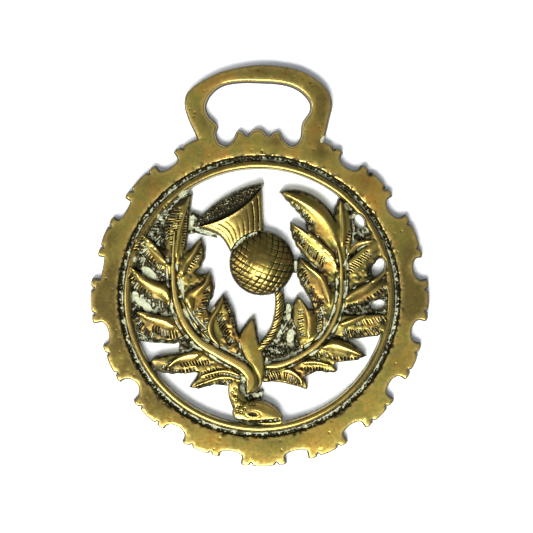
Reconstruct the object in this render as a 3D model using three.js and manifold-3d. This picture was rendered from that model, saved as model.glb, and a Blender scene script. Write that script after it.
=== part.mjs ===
// Horse brass: a pierced and cast harness medallion with a strap hanger. It lies on its flat
// back with its face up. X runs to the right of the face, Y towards the hanger and Z out of
// the face. The origin is on the back plane, under the middle of the whole outline.

import * as THREE from 'three';
import * as BufferGeometryUtils from 'three/addons/utils/BufferGeometryUtils.js';
import Module from 'manifold-3d';

const wasm = await Module();
wasm.setup();

// Driving dimensions, in millimetres
const faceRadius = 38;
const ringRadius = 28.6;
const beadWidth = 1.9;
const beadHeight = 3.3;
const grooveWidth = 1.3;
const grooveDepth = 1.2;
const plateThickness = 2.4;
const wallDraft = 0.4;
const edgeChamfer = 0.3;
const notchWidth = 4.9;
const notchDepth = 3.1;
const nickDepth = 0.8;
const hangerRise = 14.15;
const hangerOverlap = 5.89;
const hangerWidth = 33.3;
const slotWidth = 23.2;
const slotTopBar = 4.3;
const strapFlatWidth = 3.4;
const reliefFloor = 1.5;
const leafEdge = 2.5;
const leafRidge = 4;
const ribHeight = 4.2;
const ribShoulder = 0.9;
const bulbEdge = 3;
const bulbHeight = 6;
const cupHeight = 4.9;
const fluteDepth = 0.7;
const headHeight = 4.3;
const tuftHeight = 4;
const tuftShoulders = [3.2, 2.7];

// The rim pattern: how many notches, and the angles of one period of it, in degrees
const notchCount = 16;
const firstNotch = 12;
const toothSpan = 3.6;
const nickHalfSpan = 0.6;

// The pattern was carved by hand: how far each notch has turned from its even place in
// degrees, how far its floor is out, and how far the crown that follows it is out
const notchTurn = [-2.2, -1.1, -0.7, -1.7, 0.8, 0.4, 0.8, 0.4, 1.1, 0.8, 0.8, 0, 0.8, 0.4, -0.7, -1.9];
const notchRise = [0.1, -0.1, 0, -0.3, -0.1, 0.5, 1, 1.2, 0.3, -0.8, -0.2, 0.6, 0.7, 0.5, 0.1, 0];
const crownRise = [-0.3, -0.4, -0.4, -0.2, 0.2, 0, -0.1, 0.3, -0.7, -0.8, -0.6, 0.3, 0.4, 0.2, -0.1, 0];

// The opening sits a little left of the rim's own centre
const ringOffset = -0.3;

// The foliage is drawn for a ring of this radius, and follows the real ring's size
const drawnRing = 28.6;
const foliageScale = ringRadius / drawnRing;

// Facets around the ring
const ringSegments = 64;

// Every form runs this far below the back plane until the back is cut flat
const backAllowance = 1;

const brass = new THREE.MeshStandardMaterial({
  name: 'aged_brass',
  color: 0x9a7f3a,
  roughness: 0.38,
  metalness: 1.0,
});

const degrees = (angle) => THREE.MathUtils.degToRad(angle);
const onFoliage = ([x, y]) => new THREE.Vector2(x * foliageScale, y * foliageScale);
const polar = (radius, angle) => new THREE.Vector2(radius * Math.cos(angle), radius * Math.sin(angle));

// Closed bodies

function toSolid(geometry) {
  geometry.deleteAttribute('normal');
  geometry.deleteAttribute('uv');
  const merged = BufferGeometryUtils.mergeVertices(geometry, 1e-5);
  const mesh = new wasm.Mesh({
    numProp: 3,
    vertProperties: new Float32Array(merged.attributes.position.array),
    triVerts: new Uint32Array(merged.index.array),
  });
  return new wasm.Manifold(mesh);
}

function solidFromRings(rings) {
  const count = rings[0].length;
  const positions = [];
  const triangles = [];
  for (const ring of rings) {
    for (const point of ring) {
      positions.push(point.x, point.y, point.z);
    }
  }
  for (let level = 0; level < rings.length - 1; level += 1) {
    for (let i = 0; i < count; i += 1) {
      const next = (i + 1) % count;
      const a = level * count + i;
      const b = level * count + next;
      const c = (level + 1) * count + next;
      const d = (level + 1) * count + i;
      triangles.push(a, b, c, a, c, d);
    }
  }
  const last = (rings.length - 1) * count;
  for (let i = 1; i < count - 1; i += 1) {
    triangles.push(0, i + 1, i);
    triangles.push(last, last + i, last + i + 1);
  }
  const geometry = new THREE.BufferGeometry();
  geometry.setAttribute('position', new THREE.Float32BufferAttribute(positions, 3));
  geometry.setIndex(triangles);
  return toSolid(geometry);
}

// Outlines

function drawnIn(outline, inset) {
  const count = outline.length;
  return outline.map((point, i) => {
    const before = outline[(i + count - 1) % count];
    const after = outline[(i + 1) % count];
    const incoming = point.clone().sub(before).normalize();
    const outgoing = after.clone().sub(point).normalize();
    const inward = new THREE.Vector2(-incoming.y - outgoing.y, incoming.x + outgoing.x).normalize();
    const sharpness = Math.max(inward.x * -outgoing.y + inward.y * outgoing.x, 0.7);
    return point.clone().addScaledVector(inward, inset / sharpness);
  });
}

// A plate over an outline. Each level has a height and how far its outline is drawn in from
// the one at the back.
function plateOver(drawn, levels) {
  const outline = THREE.ShapeUtils.isClockWise(drawn) ? [...drawn].reverse() : drawn;
  const faces = THREE.ShapeUtils.triangulateShape(outline, []);
  const count = outline.length;
  const positions = [];
  const triangles = [];
  for (const { height, inset } of levels) {
    for (const point of drawnIn(outline, inset)) {
      positions.push(point.x, point.y, height);
    }
  }
  const top = (levels.length - 1) * count;
  for (const [a, b, c] of faces) {
    triangles.push(a, c, b);
    triangles.push(top + a, top + b, top + c);
  }
  for (let level = 0; level < levels.length - 1; level += 1) {
    for (let i = 0; i < count; i += 1) {
      const next = (i + 1) % count;
      const a = level * count + i;
      const b = level * count + next;
      triangles.push(a, b, b + count, a, b + count, a + count);
    }
  }
  const geometry = new THREE.BufferGeometry();
  geometry.setAttribute('position', new THREE.Float32BufferAttribute(positions, 3));
  geometry.setIndex(triangles);
  return toSolid(geometry);
}

const castLevels = (height) => [
  { height: -backAllowance, inset: 0 },
  { height: height - edgeChamfer, inset: wallDraft },
  { height, inset: wallDraft + edgeChamfer },
];

const flatLevels = (height) => [
  { height: -backAllowance, inset: 0 },
  { height, inset: wallDraft },
];

function ringOfRevolution(profile, segments) {
  const points = profile.map(([radius, height]) => new THREE.Vector2(radius, height));
  if (THREE.ShapeUtils.isClockWise(points)) {
    points.reverse();
  }
  points.push(points[0].clone());
  const geometry = new THREE.LatheGeometry(points, segments);
  geometry.rotateX(Math.PI / 2);
  geometry.translate(ringOffset, 0, 0);
  return toSolid(geometry);
}

// Rim: round notches with a broad scalloped tooth and two narrow ones between each pair

const mouthDrop = 1.7;

function notchPoints(angle, floorRadius) {
  const radial = polar(1, angle);
  const tangent = new THREE.Vector2(-radial.y, radial.x);
  const halfWidth = notchWidth / 2;
  const depth = Math.min(halfWidth, faceRadius - mouthDrop - floorRadius);
  const centreRadius = floorRadius + depth;
  const arcSteps = 5;
  const points = [];
  for (let i = 0; i <= arcSteps; i += 1) {
    const turn = Math.PI * (i / arcSteps);
    const across = -Math.cos(turn) * halfWidth;
    const down = Math.sin(turn) * depth;
    const point = radial.clone().multiplyScalar(centreRadius - down);
    points.push(point.addScaledVector(tangent, across));
  }
  return points;
}

function crownPoints(from, to, crownRadius) {
  const cornerDrop = 0.35;
  const nickShoulder = 0.12;
  const firstNick = from + toothSpan;
  const lastNick = to - toothSpan;
  const broad = lastNick - firstNick;
  const corners = [
    [from, cornerDrop],
    [from + toothSpan * 0.4, 0],
    [firstNick - nickHalfSpan, nickShoulder],
    [firstNick, nickDepth],
    [firstNick + nickHalfSpan, nickShoulder],
    [firstNick + broad * 0.3, 0],
    [lastNick - broad * 0.3, 0],
    [lastNick - nickHalfSpan, nickShoulder],
    [lastNick, nickDepth],
    [lastNick + nickHalfSpan, nickShoulder],
    [to - toothSpan * 0.4, 0],
    [to, cornerDrop],
  ];
  return corners.map(([angle, drop]) => polar(crownRadius - drop, degrees(angle)));
}

function rimOutline() {
  const period = 360 / notchCount;
  const notchHalf = THREE.MathUtils.radToDeg(Math.asin(notchWidth / 2 / faceRadius));
  const carved = (list, k) => list[k % list.length];
  const notchAngle = (k) => firstNotch + k * period + carved(notchTurn, k);
  const points = [];
  for (let k = 0; k < notchCount; k += 1) {
    const nextAngle = k + 1 < notchCount ? notchAngle(k + 1) : notchAngle(0) + 360;
    const floorRadius = faceRadius - notchDepth + carved(notchRise, k);
    points.push(...notchPoints(degrees(notchAngle(k)), floorRadius));
    points.push(...crownPoints(
      notchAngle(k) + notchHalf,
      nextAngle - notchHalf,
      faceRadius + carved(crownRise, k),
    ));
  }
  return points;
}

function rim() {
  const beadOuter = ringRadius + beadWidth;
  const beadSteps = 4;
  const crown = [];
  const shoulder = beadHeight - beadWidth / 2;
  for (let i = 0; i <= beadSteps; i += 1) {
    const turn = Math.PI * (i / beadSteps);
    const radius = ringRadius + (beadWidth / 2) * (1 - Math.cos(turn));
    crown.push([radius, shoulder + Math.sin(turn) * (beadWidth / 2)]);
  }
  const bead = ringOfRevolution([
    [ringRadius - wallDraft / 2, -backAllowance],
    ...crown,
    [beadOuter, -backAllowance],
  ], ringSegments);
  const grooveFloor = plateThickness - grooveDepth;
  const grooveLip = plateThickness + 1;
  const grooveToe = 0.2;
  const beadOverlap = 0.1;
  const deepestShare = 0.4;
  const groove = ringOfRevolution([
    [beadOuter - beadOverlap, grooveLip],
    [beadOuter - beadOverlap, grooveFloor + grooveToe],
    [beadOuter + grooveWidth * deepestShare, grooveFloor],
    [beadOuter + grooveWidth, plateThickness],
    [beadOuter + grooveWidth + grooveToe, grooveLip],
  ], ringSegments);
  const opening = ringOfRevolution([
    [0, -2 * backAllowance],
    [ringRadius + beadWidth / 2, -2 * backAllowance],
    [ringRadius + beadWidth / 2, grooveLip],
    [0, grooveLip],
  ], ringSegments);
  const band = plateOver(rimOutline(), castLevels(plateThickness));
  return band.subtract(opening).subtract(groove).add(bead);
}

// Hanger: a strap loop that stands on the rim between its two outer notches

function mirrored(half, width, height, middle, base) {
  const right = half.map(([across, up]) => new THREE.Vector2(
    middle + (across * width) / 2,
    base + up * height,
  ));
  const left = half.map(([across, up]) => new THREE.Vector2(
    middle - (across * width) / 2,
    base + up * height,
  ));
  return [...right, ...left.reverse().slice(1)];
}

function smoothThrough(points, steps) {
  return new THREE.SplineCurve(points).getPoints(steps);
}

function hanger() {
  const middle = -0.45;
  const foot = faceRadius - hangerOverlap;
  const top = faceRadius + hangerRise;
  const outerHalf = [
    [0.86, 0], [0.86, 0.18], [0.94, 0.4], [1, 0.58], [0.93, 0.74], [0.6, 0.92],
    [0.3, 0.985], [0, 1],
  ];
  const slotHalf = [
    [0.76, 0], [0.77, 0.3], [0.85, 0.5], [0.99, 0.66], [0.86, 0.85], [0.62, 0.95],
    [0.16, 1], [0, 1],
  ];
  const outer = smoothThrough(mirrored(outerHalf, hangerWidth, top - foot, middle, foot), 36);
  const slotTop = top - slotTopBar;
  const straight = 0.16 * slotWidth / 2;
  const slot = smoothThrough(mirrored(slotHalf, slotWidth, slotTop - foot, middle - 0.1, foot), 32)
    .filter((point) => Math.abs(point.x - middle) > straight || point.y < foot + 1);
  const outline = [...outer, ...slot.reverse()];
  const wornFlat = new THREE.BoxGeometry(strapFlatWidth, slotWidth / 2, 4 * plateThickness);
  wornFlat.translate(middle, slotTop + wallDraft - slotWidth / 4, 0);
  return plateOver(outline, castLevels(plateThickness)).subtract(toSolid(wornFlat));
}

// Swept relief: a form that follows a path on the back plane. At each station its section has
// two drafted walls, two shoulders and a crest.

function sweptForm({ path, steps, left, right, crest, shoulder, top }) {
  const rings = [];
  for (let i = 0; i <= steps; i += 1) {
    const t = i / steps;
    const point = path.getPoint(t);
    const along = path.getTangent(t);
    const side = new THREE.Vector2(-along.y, along.x);
    const across = (offset, height) => new THREE.Vector3(
      point.x + side.x * offset,
      point.y + side.y * offset,
      height,
    );
    const toLeft = left(t);
    const toRight = right(t);
    const lean = Math.min(wallDraft, toLeft * 0.5, toRight * 0.5);
    rings.push([
      across(toLeft, -backAllowance),
      across(toLeft - lean, shoulder(t, i)),
      across(crest * (crest > 0 ? toLeft : toRight), top(t)),
      across(lean - toRight, shoulder(t, i)),
      across(-toRight, -backAllowance),
    ]);
  }
  return solidFromRings(rings);
}

// Leaf lobe: widest at its belly and closing to a round or pointed tip

function lobe({ base, bend, tip, root, belly, at, point, crest, ridge, edge, steps = 8, vein = 0.45 }) {
  const path = new THREE.QuadraticBezierCurve(onFoliage(base), onFoliage(bend), onFoliage(tip));
  const halfWidth = (t) => {
    if (t < at) {
      return (root + (belly - root) * Math.sin((Math.PI / 2) * (t / at))) * foliageScale;
    }
    const past = (t - at) / (1 - at);
    return Math.max(belly * (1 - past * past) ** point, 0.18) * foliageScale;
  };
  return sweptForm({
    path,
    steps,
    left: halfWidth,
    right: halfWidth,
    crest,
    shoulder: (t, i) => edge - (i % 2) * vein,
    top: (t) => ridge - (ridge - edge) * 0.5 * t * t,
  });
}

function rib({ points, width, tipWidth, height, steps }) {
  const path = new THREE.SplineCurve(points.map(onFoliage));
  const halfWidth = (t) => ((width + (tipWidth - width) * t) / 2) * foliageScale;
  return sweptForm({
    path,
    steps,
    left: (t) => halfWidth(t) + wallDraft,
    right: (t) => halfWidth(t) + wallDraft,
    crest: 0,
    shoulder: () => height - ribShoulder,
    top: () => height,
  });
}

const leftRib = [
  [-3, -19.5], [-2.6, -18], [-4.5, -15.5], [-9, -13], [-14, -9.8], [-17.5, -5],
  [-19.2, 1], [-19.5, 8], [-19.3, 13.5],
];
const rightRib = [
  [1, -15.6], [5, -15.1], [9, -13.3], [13, -10.5], [15.7, -7], [17.6, -2],
  [18.2, 5], [17.3, 11], [14, 16.8],
];

// Each lobe springs from a rib at its base, leans by way of its bend and ends at its tip. The
// crest lies left of the middle of travel where it is positive, as a share of the half width.
const lobes = {
  leftTop: {
    base: [-19, 8.5], bend: [-20, 18.5], tip: [-15.3, 23],
    root: 1.8, belly: 2.9, at: 0.4, point: 0.8, crest: -0.3,
  },
  leftOuterHigh: {
    base: [-19.6, 5.6], bend: [-24, 9], tip: [-28, 13],
    root: 1.4, belly: 1.6, at: 0.5, point: 0.3, crest: -0.3,
  },
  leftOuterMiddle: {
    base: [-19.3, 0.2], bend: [-24, 0.4], tip: [-29.4, 4.6],
    root: 2.2, belly: 2.1, at: 0.3, point: 0.3, crest: -0.2,
  },
  leftOuterLow: {
    base: [-17.6, -6.5], bend: [-23, -8.2], tip: [-28.6, -5],
    root: 2.6, belly: 3, at: 0.3, point: 0.35, crest: -0.5,
  },
  leftLow: {
    base: [-12.5, -13.2], bend: [-18.5, -16], tip: [-24.6, -14.6],
    root: 2.2, belly: 2.5, at: 0.5, point: 0.4, crest: -0.3,
  },
  leftFoot: {
    base: [-4, -17.3], bend: [-9.5, -16.8], tip: [-15.9, -20.4],
    root: 1.6, belly: 2, at: 0.4, point: 0.7, crest: -0.4,
  },
  leftInnerHigh: {
    base: [-18, 4.5], bend: [-14.2, 6.8], tip: [-13.4, 13.1],
    root: 1.7, belly: 2, at: 0.55, point: 0.75, crest: 0.3,
  },
  leftInnerMiddle: {
    base: [-17.4, -2.2], bend: [-12, -1.4], tip: [-11.6, 5.7],
    root: 2.6, belly: 2.4, at: 0.4, point: 0.75, crest: 0.3,
  },
  leftInnerLow: {
    base: [-12.4, -10.2], bend: [-8, -6], tip: [-8.4, 0.6],
    root: 2.8, belly: 3.1, at: 0.35, point: 0.8, crest: 0.4,
  },
  middle: {
    base: [-1.8, -21.6], bend: [-3.2, -13], tip: [-1.5, -4.4],
    root: 1.9, belly: 2.7, at: 0.4, point: 0.8, crest: 0.1,
  },
  rightTop: {
    base: [16.2, 10.5], bend: [14.4, 20.6], tip: [4.4, 23.5],
    root: 2, belly: 3, at: 0.45, point: 0.7, crest: 0.2,
  },
  rightShoulder: {
    base: [18.2, 8.5], bend: [18.9, 15], tip: [17.9, 22.4],
    root: 1.6, belly: 2.3, at: 0.5, point: 0.7, crest: 0.2,
  },
  rightOuterHigh: {
    base: [18, 4.5], bend: [21.5, 6.5], tip: [27.5, 12.6],
    root: 1.6, belly: 2.5, at: 0.5, point: 0.3, crest: 0.3,
  },
  rightOuterMiddle: {
    base: [18, -1], bend: [22.5, 0.4], tip: [29, 2.2],
    root: 2, belly: 2.3, at: 0.5, point: 0.2, crest: 0.2,
  },
  rightOuterLow: {
    base: [16.8, -6.4], bend: [22, -7], tip: [29, -5.2],
    root: 2.6, belly: 2.8, at: 0.4, point: 0.3, crest: 0.4,
  },
  rightLow: {
    base: [12, -11], bend: [18.2, -11.6], tip: [23.8, -13.4],
    root: 2.2, belly: 2.7, at: 0.4, point: 0.9, crest: 0.1,
  },
  rightFootHigh: {
    base: [8.5, -14.6], bend: [13, -15.2], tip: [17.2, -16.6],
    root: 1.6, belly: 1.5, at: 0.4, point: 0.4, crest: 0.3,
  },
  rightFoot: {
    base: [1.2, -17.4], bend: [8, -16.4], tip: [10.4, -20.8],
    root: 2, belly: 1.9, at: 0.5, point: 0.6, crest: 0.2,
  },
  rightInnerHigh: {
    base: [16.6, 6], bend: [11, 10.2], tip: [6.6, 16.7],
    root: 1.6, belly: 2.4, at: 0.4, point: 0.75, crest: -0.3,
  },
  rightInnerMiddle: {
    base: [16.2, -1.4], bend: [11.6, 2.4], tip: [8.7, 8.8],
    root: 2, belly: 2.8, at: 0.5, point: 0.7, crest: -0.3,
  },
  rightInnerLow: {
    base: [12.2, -10.4], bend: [9, -6], tip: [8.3, 0.1],
    root: 2.4, belly: 2.4, at: 0.45, point: 0.7, crest: -0.1,
  },
};

function foliage() {
  const forms = Object.values(lobes).map((shape) => lobe({ ridge: leafRidge, edge: leafEdge, ...shape }));
  forms.push(rib({ points: leftRib, width: 1.9, tipWidth: 1.1, height: ribHeight, steps: 18 }));
  forms.push(rib({ points: rightRib, width: 1.4, tipWidth: 0.8, height: ribHeight, steps: 18 }));
  return forms;
}

// Floors: low ground that ties the leaves to the ring, the stem and each other

function ringArc(fromAngle, toAngle, steps) {
  const points = [];
  for (let i = 0; i <= steps; i += 1) {
    const angle = degrees(fromAngle + (toAngle - fromAngle) * (i / steps));
    points.push(polar(drawnRing + 0.5, angle).toArray());
  }
  return points;
}

const floors = {
  leftOuter: [
    ...ringArc(123, 200, 10), [-24.5, -10.5], [-19.5, -10.8], [-15.5, -9.6], [-18, -3],
    [-19, 4], [-18.8, 12], [-18.4, 18], [-16, 22],
  ],
  leftInner: [
    [-19.3, 12.5], [-19, 2], [-17.5, -5], [-14, -9.8], [-9, -13], [-4, -15.5], [-4, -9.4], [-10.8, -4],
    [-15, 3.6], [-16, 10.6],
  ],
  leftLow: [[-18.4, -9.8], [-18.5, -16], [-13.2, -17.6], [-4, -18.8], [-4, -15], [-13, -9.6]],
  rightOuter: [
    ...ringArc(-17, 50, 10), [18.6, 20.4], [17.6, 14], [17.4, 8], [17.8, 2], [17, -3],
    [14.6, -8.4], [18.6, -9.7], [22, -9.6],
  ],
  rightInner: [
    [17, 11], [18, 5], [17.6, -2], [15.7, -7], [11, -12], [3, -15], [0.6, -11.4], [7, -10.6], [8.2, -8],
    [12, -2.4], [13, 5], [13.6, 8], [10.4, 15.6], [14, 17],
  ],
  rightLow: [[18.4, -9], [14, -8.4], [3, -14.4], [1, -18.8], [9.4, -18], [16.6, -15.5], [19, -12]],
  stemRight: [[4.4, -1.2], [3.4, -8], [0.6, -11], [1, -12], [9, -11.6], [8.4, -5], [7, -1.3]],
  middle: [[-5.4, -14], [-4.6, -9.4], [-0.4, -10.8], [4, -13], [3, -18.4], [-4, -19.8]],
  headLeft: [[-3.4, -23.4], [-3.2, -21.2], [0.6, -20.8], [0.4, -22.6], [-1, -23.4]],
  cupLeft: [[-16.6, 13.8], [-14.6, 14.2], [-9.6, 13], [-11.6, 17.4], [-15, 19.2], [-17, 18.4]],
  bulbRight: [[6.6, 5.4], [8.8, 5], [9, 8.4], [7, 8.4]],
};

// Small piercings in those floors: middle, half length, half width and turn in degrees
const piercings = [
  { at: [22.3, 16.8], length: 1.6, width: 0.9, turn: 115 },
  { at: [26.5, 6.6], length: 1.9, width: 1.2, turn: 60 },
  { at: [26.4, -1.8], length: 1.6, width: 0.9, turn: 15 },
];

function piercing({ at, length, width, turn }) {
  const centre = onFoliage(at);
  const outline = [];
  const steps = 8;
  for (let i = 0; i < steps; i += 1) {
    const angle = (2 * Math.PI * i) / steps;
    const point = new THREE.Vector2(Math.cos(angle) * length, Math.sin(angle) * width);
    point.multiplyScalar(foliageScale);
    outline.push(point.rotateAround(new THREE.Vector2(), degrees(turn)).add(centre));
  }
  return plateOver(outline, [
    { height: -2 * backAllowance, inset: 0 },
    { height: plateThickness * 2, inset: -wallDraft },
  ]);
}

function groundWork() {
  const levels = flatLevels(reliefFloor);
  return Object.values(floors).map((outline) => plateOver(outline.map(onFoliage), levels));
}

// Thistle: a netted bulb, a fluted cup that flares from it, a crescent tuft and a stem

const bulbCentre = [0.3, 7.5];
const bulbRadius = 7.4;

function bulb() {
  const radius = bulbRadius * foliageScale;
  const centre = onFoliage(bulbCentre);
  const pitch = 1.55 * foliageScale;
  const steep = polar(pitch, degrees(67));
  const shallow = polar(pitch, degrees(-28));
  const reach = Math.ceil(radius / pitch) + 1;
  const pad = 0.17;
  const domeHeight = (x, y) => {
    const away = Math.min(Math.hypot(x, y) / (radius * 1.03), 1);
    return bulbEdge + (bulbHeight - bulbEdge) * Math.sqrt(1 - away * away);
  };
  const nodeAt = (i, j) => new THREE.Vector2(
    steep.x * i + shallow.x * j,
    steep.y * i + shallow.y * j,
  );
  const positions = [];
  const triangles = [];
  const put = (x, y, z) => positions.push(centre.x + x, centre.y + y, z) / 3 - 1;
  const side = 2 * reach + 1;
  const count = side * side;
  for (const flat of [false, true]) {
    for (let i = -reach; i <= reach; i += 1) {
      for (let j = -reach; j <= reach; j += 1) {
        const { x, y } = nodeAt(i, j);
        put(x, y, flat ? -backAllowance : domeHeight(x, y) - pad);
      }
    }
  }
  const index = (i, j) => (i + reach) * side + (j + reach);
  for (let i = -reach; i < reach; i += 1) {
    for (let j = -reach; j < reach; j += 1) {
      const corners = [index(i, j), index(i, j + 1), index(i + 1, j + 1), index(i + 1, j)];
      const { x, y } = nodeAt(i + 0.5, j + 0.5);
      const raised = put(x, y, domeHeight(x, y) + pad);
      for (let k = 0; k < 4; k += 1) {
        triangles.push(raised, corners[k], corners[(k + 1) % 4]);
      }
      const [a, b, c, d] = corners.map((corner) => corner + count);
      triangles.push(a, c, b, a, d, c);
    }
  }
  for (let i = -reach; i < reach; i += 1) {
    const sides = [
      [index(i, reach), index(i + 1, reach)],
      [index(i + 1, -reach), index(i, -reach)],
      [index(reach, i), index(reach, i + 1)].reverse(),
      [index(-reach, i + 1), index(-reach, i)].reverse(),
    ];
    for (const [a, b] of sides) {
      triangles.push(a, a + count, b + count, a, b + count, b);
    }
  }
  const net = new THREE.BufferGeometry();
  net.setAttribute('position', new THREE.Float32BufferAttribute(positions, 3));
  net.setIndex(triangles);
  const outline = [];
  const rimSteps = 26;
  for (let i = 0; i < rimSteps; i += 1) {
    outline.push(polar(radius, (2 * Math.PI * i) / rimSteps).add(centre));
  }
  const mould = plateOver(outline, [
    { height: -2 * backAllowance, inset: 0 },
    { height: bulbHeight + 1, inset: wallDraft },
  ]);
  return toSolid(net).intersect(mould);
}

function cup() {
  const neck = new THREE.QuadraticBezierCurve(
    ...[[-6.6, 9.6], [-5, 14], [0.9, 14.6]].map(onFoliage),
  );
  const lip = new THREE.QuadraticBezierCurve(
    ...[[-14.6, 15.8], [-4.6, 17.8], [0.4, 25]].map(onFoliage),
  );
  const towardsAxis = new THREE.Vector2(0.62, 0.78);
  const waistPinch = 1.5;
  const waistDrop = 0.3;
  const neckDrop = 1;
  const neckFluteShare = 0.6;
  const flutes = 9;
  const steps = flutes * 2;
  const rings = [];
  for (let i = 0; i <= steps; i += 1) {
    const t = i / steps;
    const valley = i % 2 === 1 ? fluteDepth : 0;
    const start = neck.getPoint(t);
    const end = lip.getPoint(t);
    const waist = start.clone().lerp(end, 0.45);
    waist.addScaledVector(towardsAxis, waistPinch * foliageScale * (1 - t));
    rings.push([
      new THREE.Vector3(start.x, start.y, -backAllowance),
      new THREE.Vector3(start.x, start.y, cupHeight - neckDrop - valley * neckFluteShare),
      new THREE.Vector3(waist.x, waist.y, cupHeight - waistDrop - valley),
      new THREE.Vector3(end.x, end.y, cupHeight - valley),
      new THREE.Vector3(end.x, end.y, -backAllowance),
    ]);
  }
  return solidFromRings(rings.reverse());
}

function tuft() {
  const bends = [[-14.8, 15.8], [-5.8, 19.2], [0.5, 25.2]];
  const path = new THREE.QuadraticBezierCurve(...bends.map(onFoliage));
  const swell = (t, root, belly) => (root + belly * Math.sin(Math.PI * t) ** 0.7) * foliageScale;
  return sweptForm({
    path,
    steps: 12,
    left: (t) => swell(t, 0.5, 2.6),
    right: (t) => swell(t, 0.3, 1.3),
    crest: 0.25,
    shoulder: (t, i) => tuftShoulders[i % 2],
    top: () => tuftHeight,
  });
}

function stem() {
  return rib({
    points: [[4.2, 1.4], [4.3, -2], [3.6, -6.3], [2.2, -9], [0.2, -11.4]],
    width: 1.9,
    tipWidth: 1.6,
    height: ribHeight,
    steps: 12,
  });
}

// Beast's head at the foot, on a short neck, biting the ring

function head() {
  const neckPath = [[-5.4, -18.6], [-5.9, -21], [-5.6, -23.6], [-3.6, -26], [-1, -27]];
  const neck = rib({ points: neckPath, width: 1.8, tipWidth: 2.6, height: headHeight - 0.5, steps: 8 });
  const skull = lobe({
    base: [-5.6, -26.2],
    bend: [-0.8, -24.6],
    tip: [5.2, -28.2],
    root: 1.6,
    belly: 2.3,
    at: 0.45,
    point: 0.6,
    crest: 0.1,
    ridge: headHeight,
    edge: leafEdge,
  });
  const eye = lobe({
    base: [-3, -26.1],
    bend: [-1.9, -25.9],
    tip: [-0.4, -26.5],
    root: 0.4,
    belly: 0.7,
    at: 0.4,
    point: 0.6,
    crest: 0.1,
    ridge: headHeight + 0.6,
    edge: headHeight - 0.2,
    steps: 4,
    vein: 0,
  });
  return [neck, skull, eye];
}

// The floors are pierced before the leaves are laid over them

const ground = groundWork().reduce((whole, floor) => whole.add(floor));
const pierced = piercings.map(piercing).reduce((whole, hole) => whole.subtract(hole), ground);

const forms = [
  pierced,
  hanger(),
  ...foliage(),
  stem(),
  bulb(),
  cup(),
  tuft(),
  ...head(),
];

let body = rim();
for (const form of forms) {
  body = body.add(form);
}

// The back is cut flat

const span = 4 * faceRadius;
const faceSide = new THREE.BoxGeometry(span, span, span);
faceSide.translate(0, 0, span / 2);
body = body.intersect(toSolid(faceSide));

// Back to one mesh, set with its outline's middle over the origin

const result = body.getMesh();
const geometry = new THREE.BufferGeometry();
geometry.setAttribute('position', new THREE.Float32BufferAttribute(result.vertProperties, 3));
geometry.setIndex(Array.from(result.triVerts));
geometry.computeBoundingBox();
const middle = geometry.boundingBox.getCenter(new THREE.Vector3());
geometry.translate(-middle.x, -middle.y, -geometry.boundingBox.min.z);
geometry.computeVertexNormals();

const horseBrass = new THREE.Mesh(geometry, brass);
horseBrass.name = 'horse_brass';

const model = new THREE.Group();
model.add(horseBrass);

export default model;
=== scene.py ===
import math

import bpy
import numpy as np
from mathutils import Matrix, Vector
from mathutils.geometry import delaunay_2d_cdt


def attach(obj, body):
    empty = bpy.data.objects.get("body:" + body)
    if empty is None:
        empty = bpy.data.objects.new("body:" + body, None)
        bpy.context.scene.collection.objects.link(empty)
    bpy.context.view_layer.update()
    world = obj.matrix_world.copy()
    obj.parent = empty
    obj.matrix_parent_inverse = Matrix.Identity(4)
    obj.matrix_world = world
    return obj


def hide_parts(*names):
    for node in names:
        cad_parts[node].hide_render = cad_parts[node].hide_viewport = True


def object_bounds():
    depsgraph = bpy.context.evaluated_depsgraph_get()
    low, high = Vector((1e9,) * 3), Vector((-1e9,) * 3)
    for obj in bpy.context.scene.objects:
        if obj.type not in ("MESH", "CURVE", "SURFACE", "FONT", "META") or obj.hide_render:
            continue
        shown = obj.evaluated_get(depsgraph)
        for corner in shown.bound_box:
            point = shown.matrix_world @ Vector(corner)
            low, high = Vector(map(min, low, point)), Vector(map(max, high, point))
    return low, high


# Horse brass: a pierced and cast harness medallion with a thistle between two leaves.
# The carving is drawn in millimetres about the middle of the disc, X to the right, Y towards
# the hanger and Z out of the face, as heights on a fine grid over the flat back.

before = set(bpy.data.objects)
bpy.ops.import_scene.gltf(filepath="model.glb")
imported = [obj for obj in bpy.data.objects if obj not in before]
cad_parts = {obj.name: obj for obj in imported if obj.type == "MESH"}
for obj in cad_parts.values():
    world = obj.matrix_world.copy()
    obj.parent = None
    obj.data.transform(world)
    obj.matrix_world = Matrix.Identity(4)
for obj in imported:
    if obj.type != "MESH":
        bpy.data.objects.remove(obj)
cad_low, cad_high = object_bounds()

# Where the middle of the disc lies in the frame, in millimetres
DISC_X = 0.150
DISC_Y = -6.926
MM = 0.001

# Main dimensions, in millimetres
FACE_RADIUS = 38
RING_RADIUS = 28.6
RING_OFFSET = -0.3
BEAD_WIDTH = 1.9
BEAD_HEIGHT = 3.3
GROOVE_WIDTH = 1.1
GROOVE_FLOOR = 1.5
PLATE = 2.4
PLATE_EDGE = 0.4
NOTCH_WIDTH = 4.9
NOTCH_DEPTH = 3.1
NICK_DEPTH = 0.8
HANGER_TOP = 52.15
LEAF_EDGE = 2.5
LEAF_RIDGE = 4
LEAF_FACE = 3.45
RIB_HEIGHT = 4.2
BULB_EDGE = 3
BULB_HEIGHT = 6
CUP_HEIGHT = 4.9
HEAD_HEIGHT = 4.3

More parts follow.
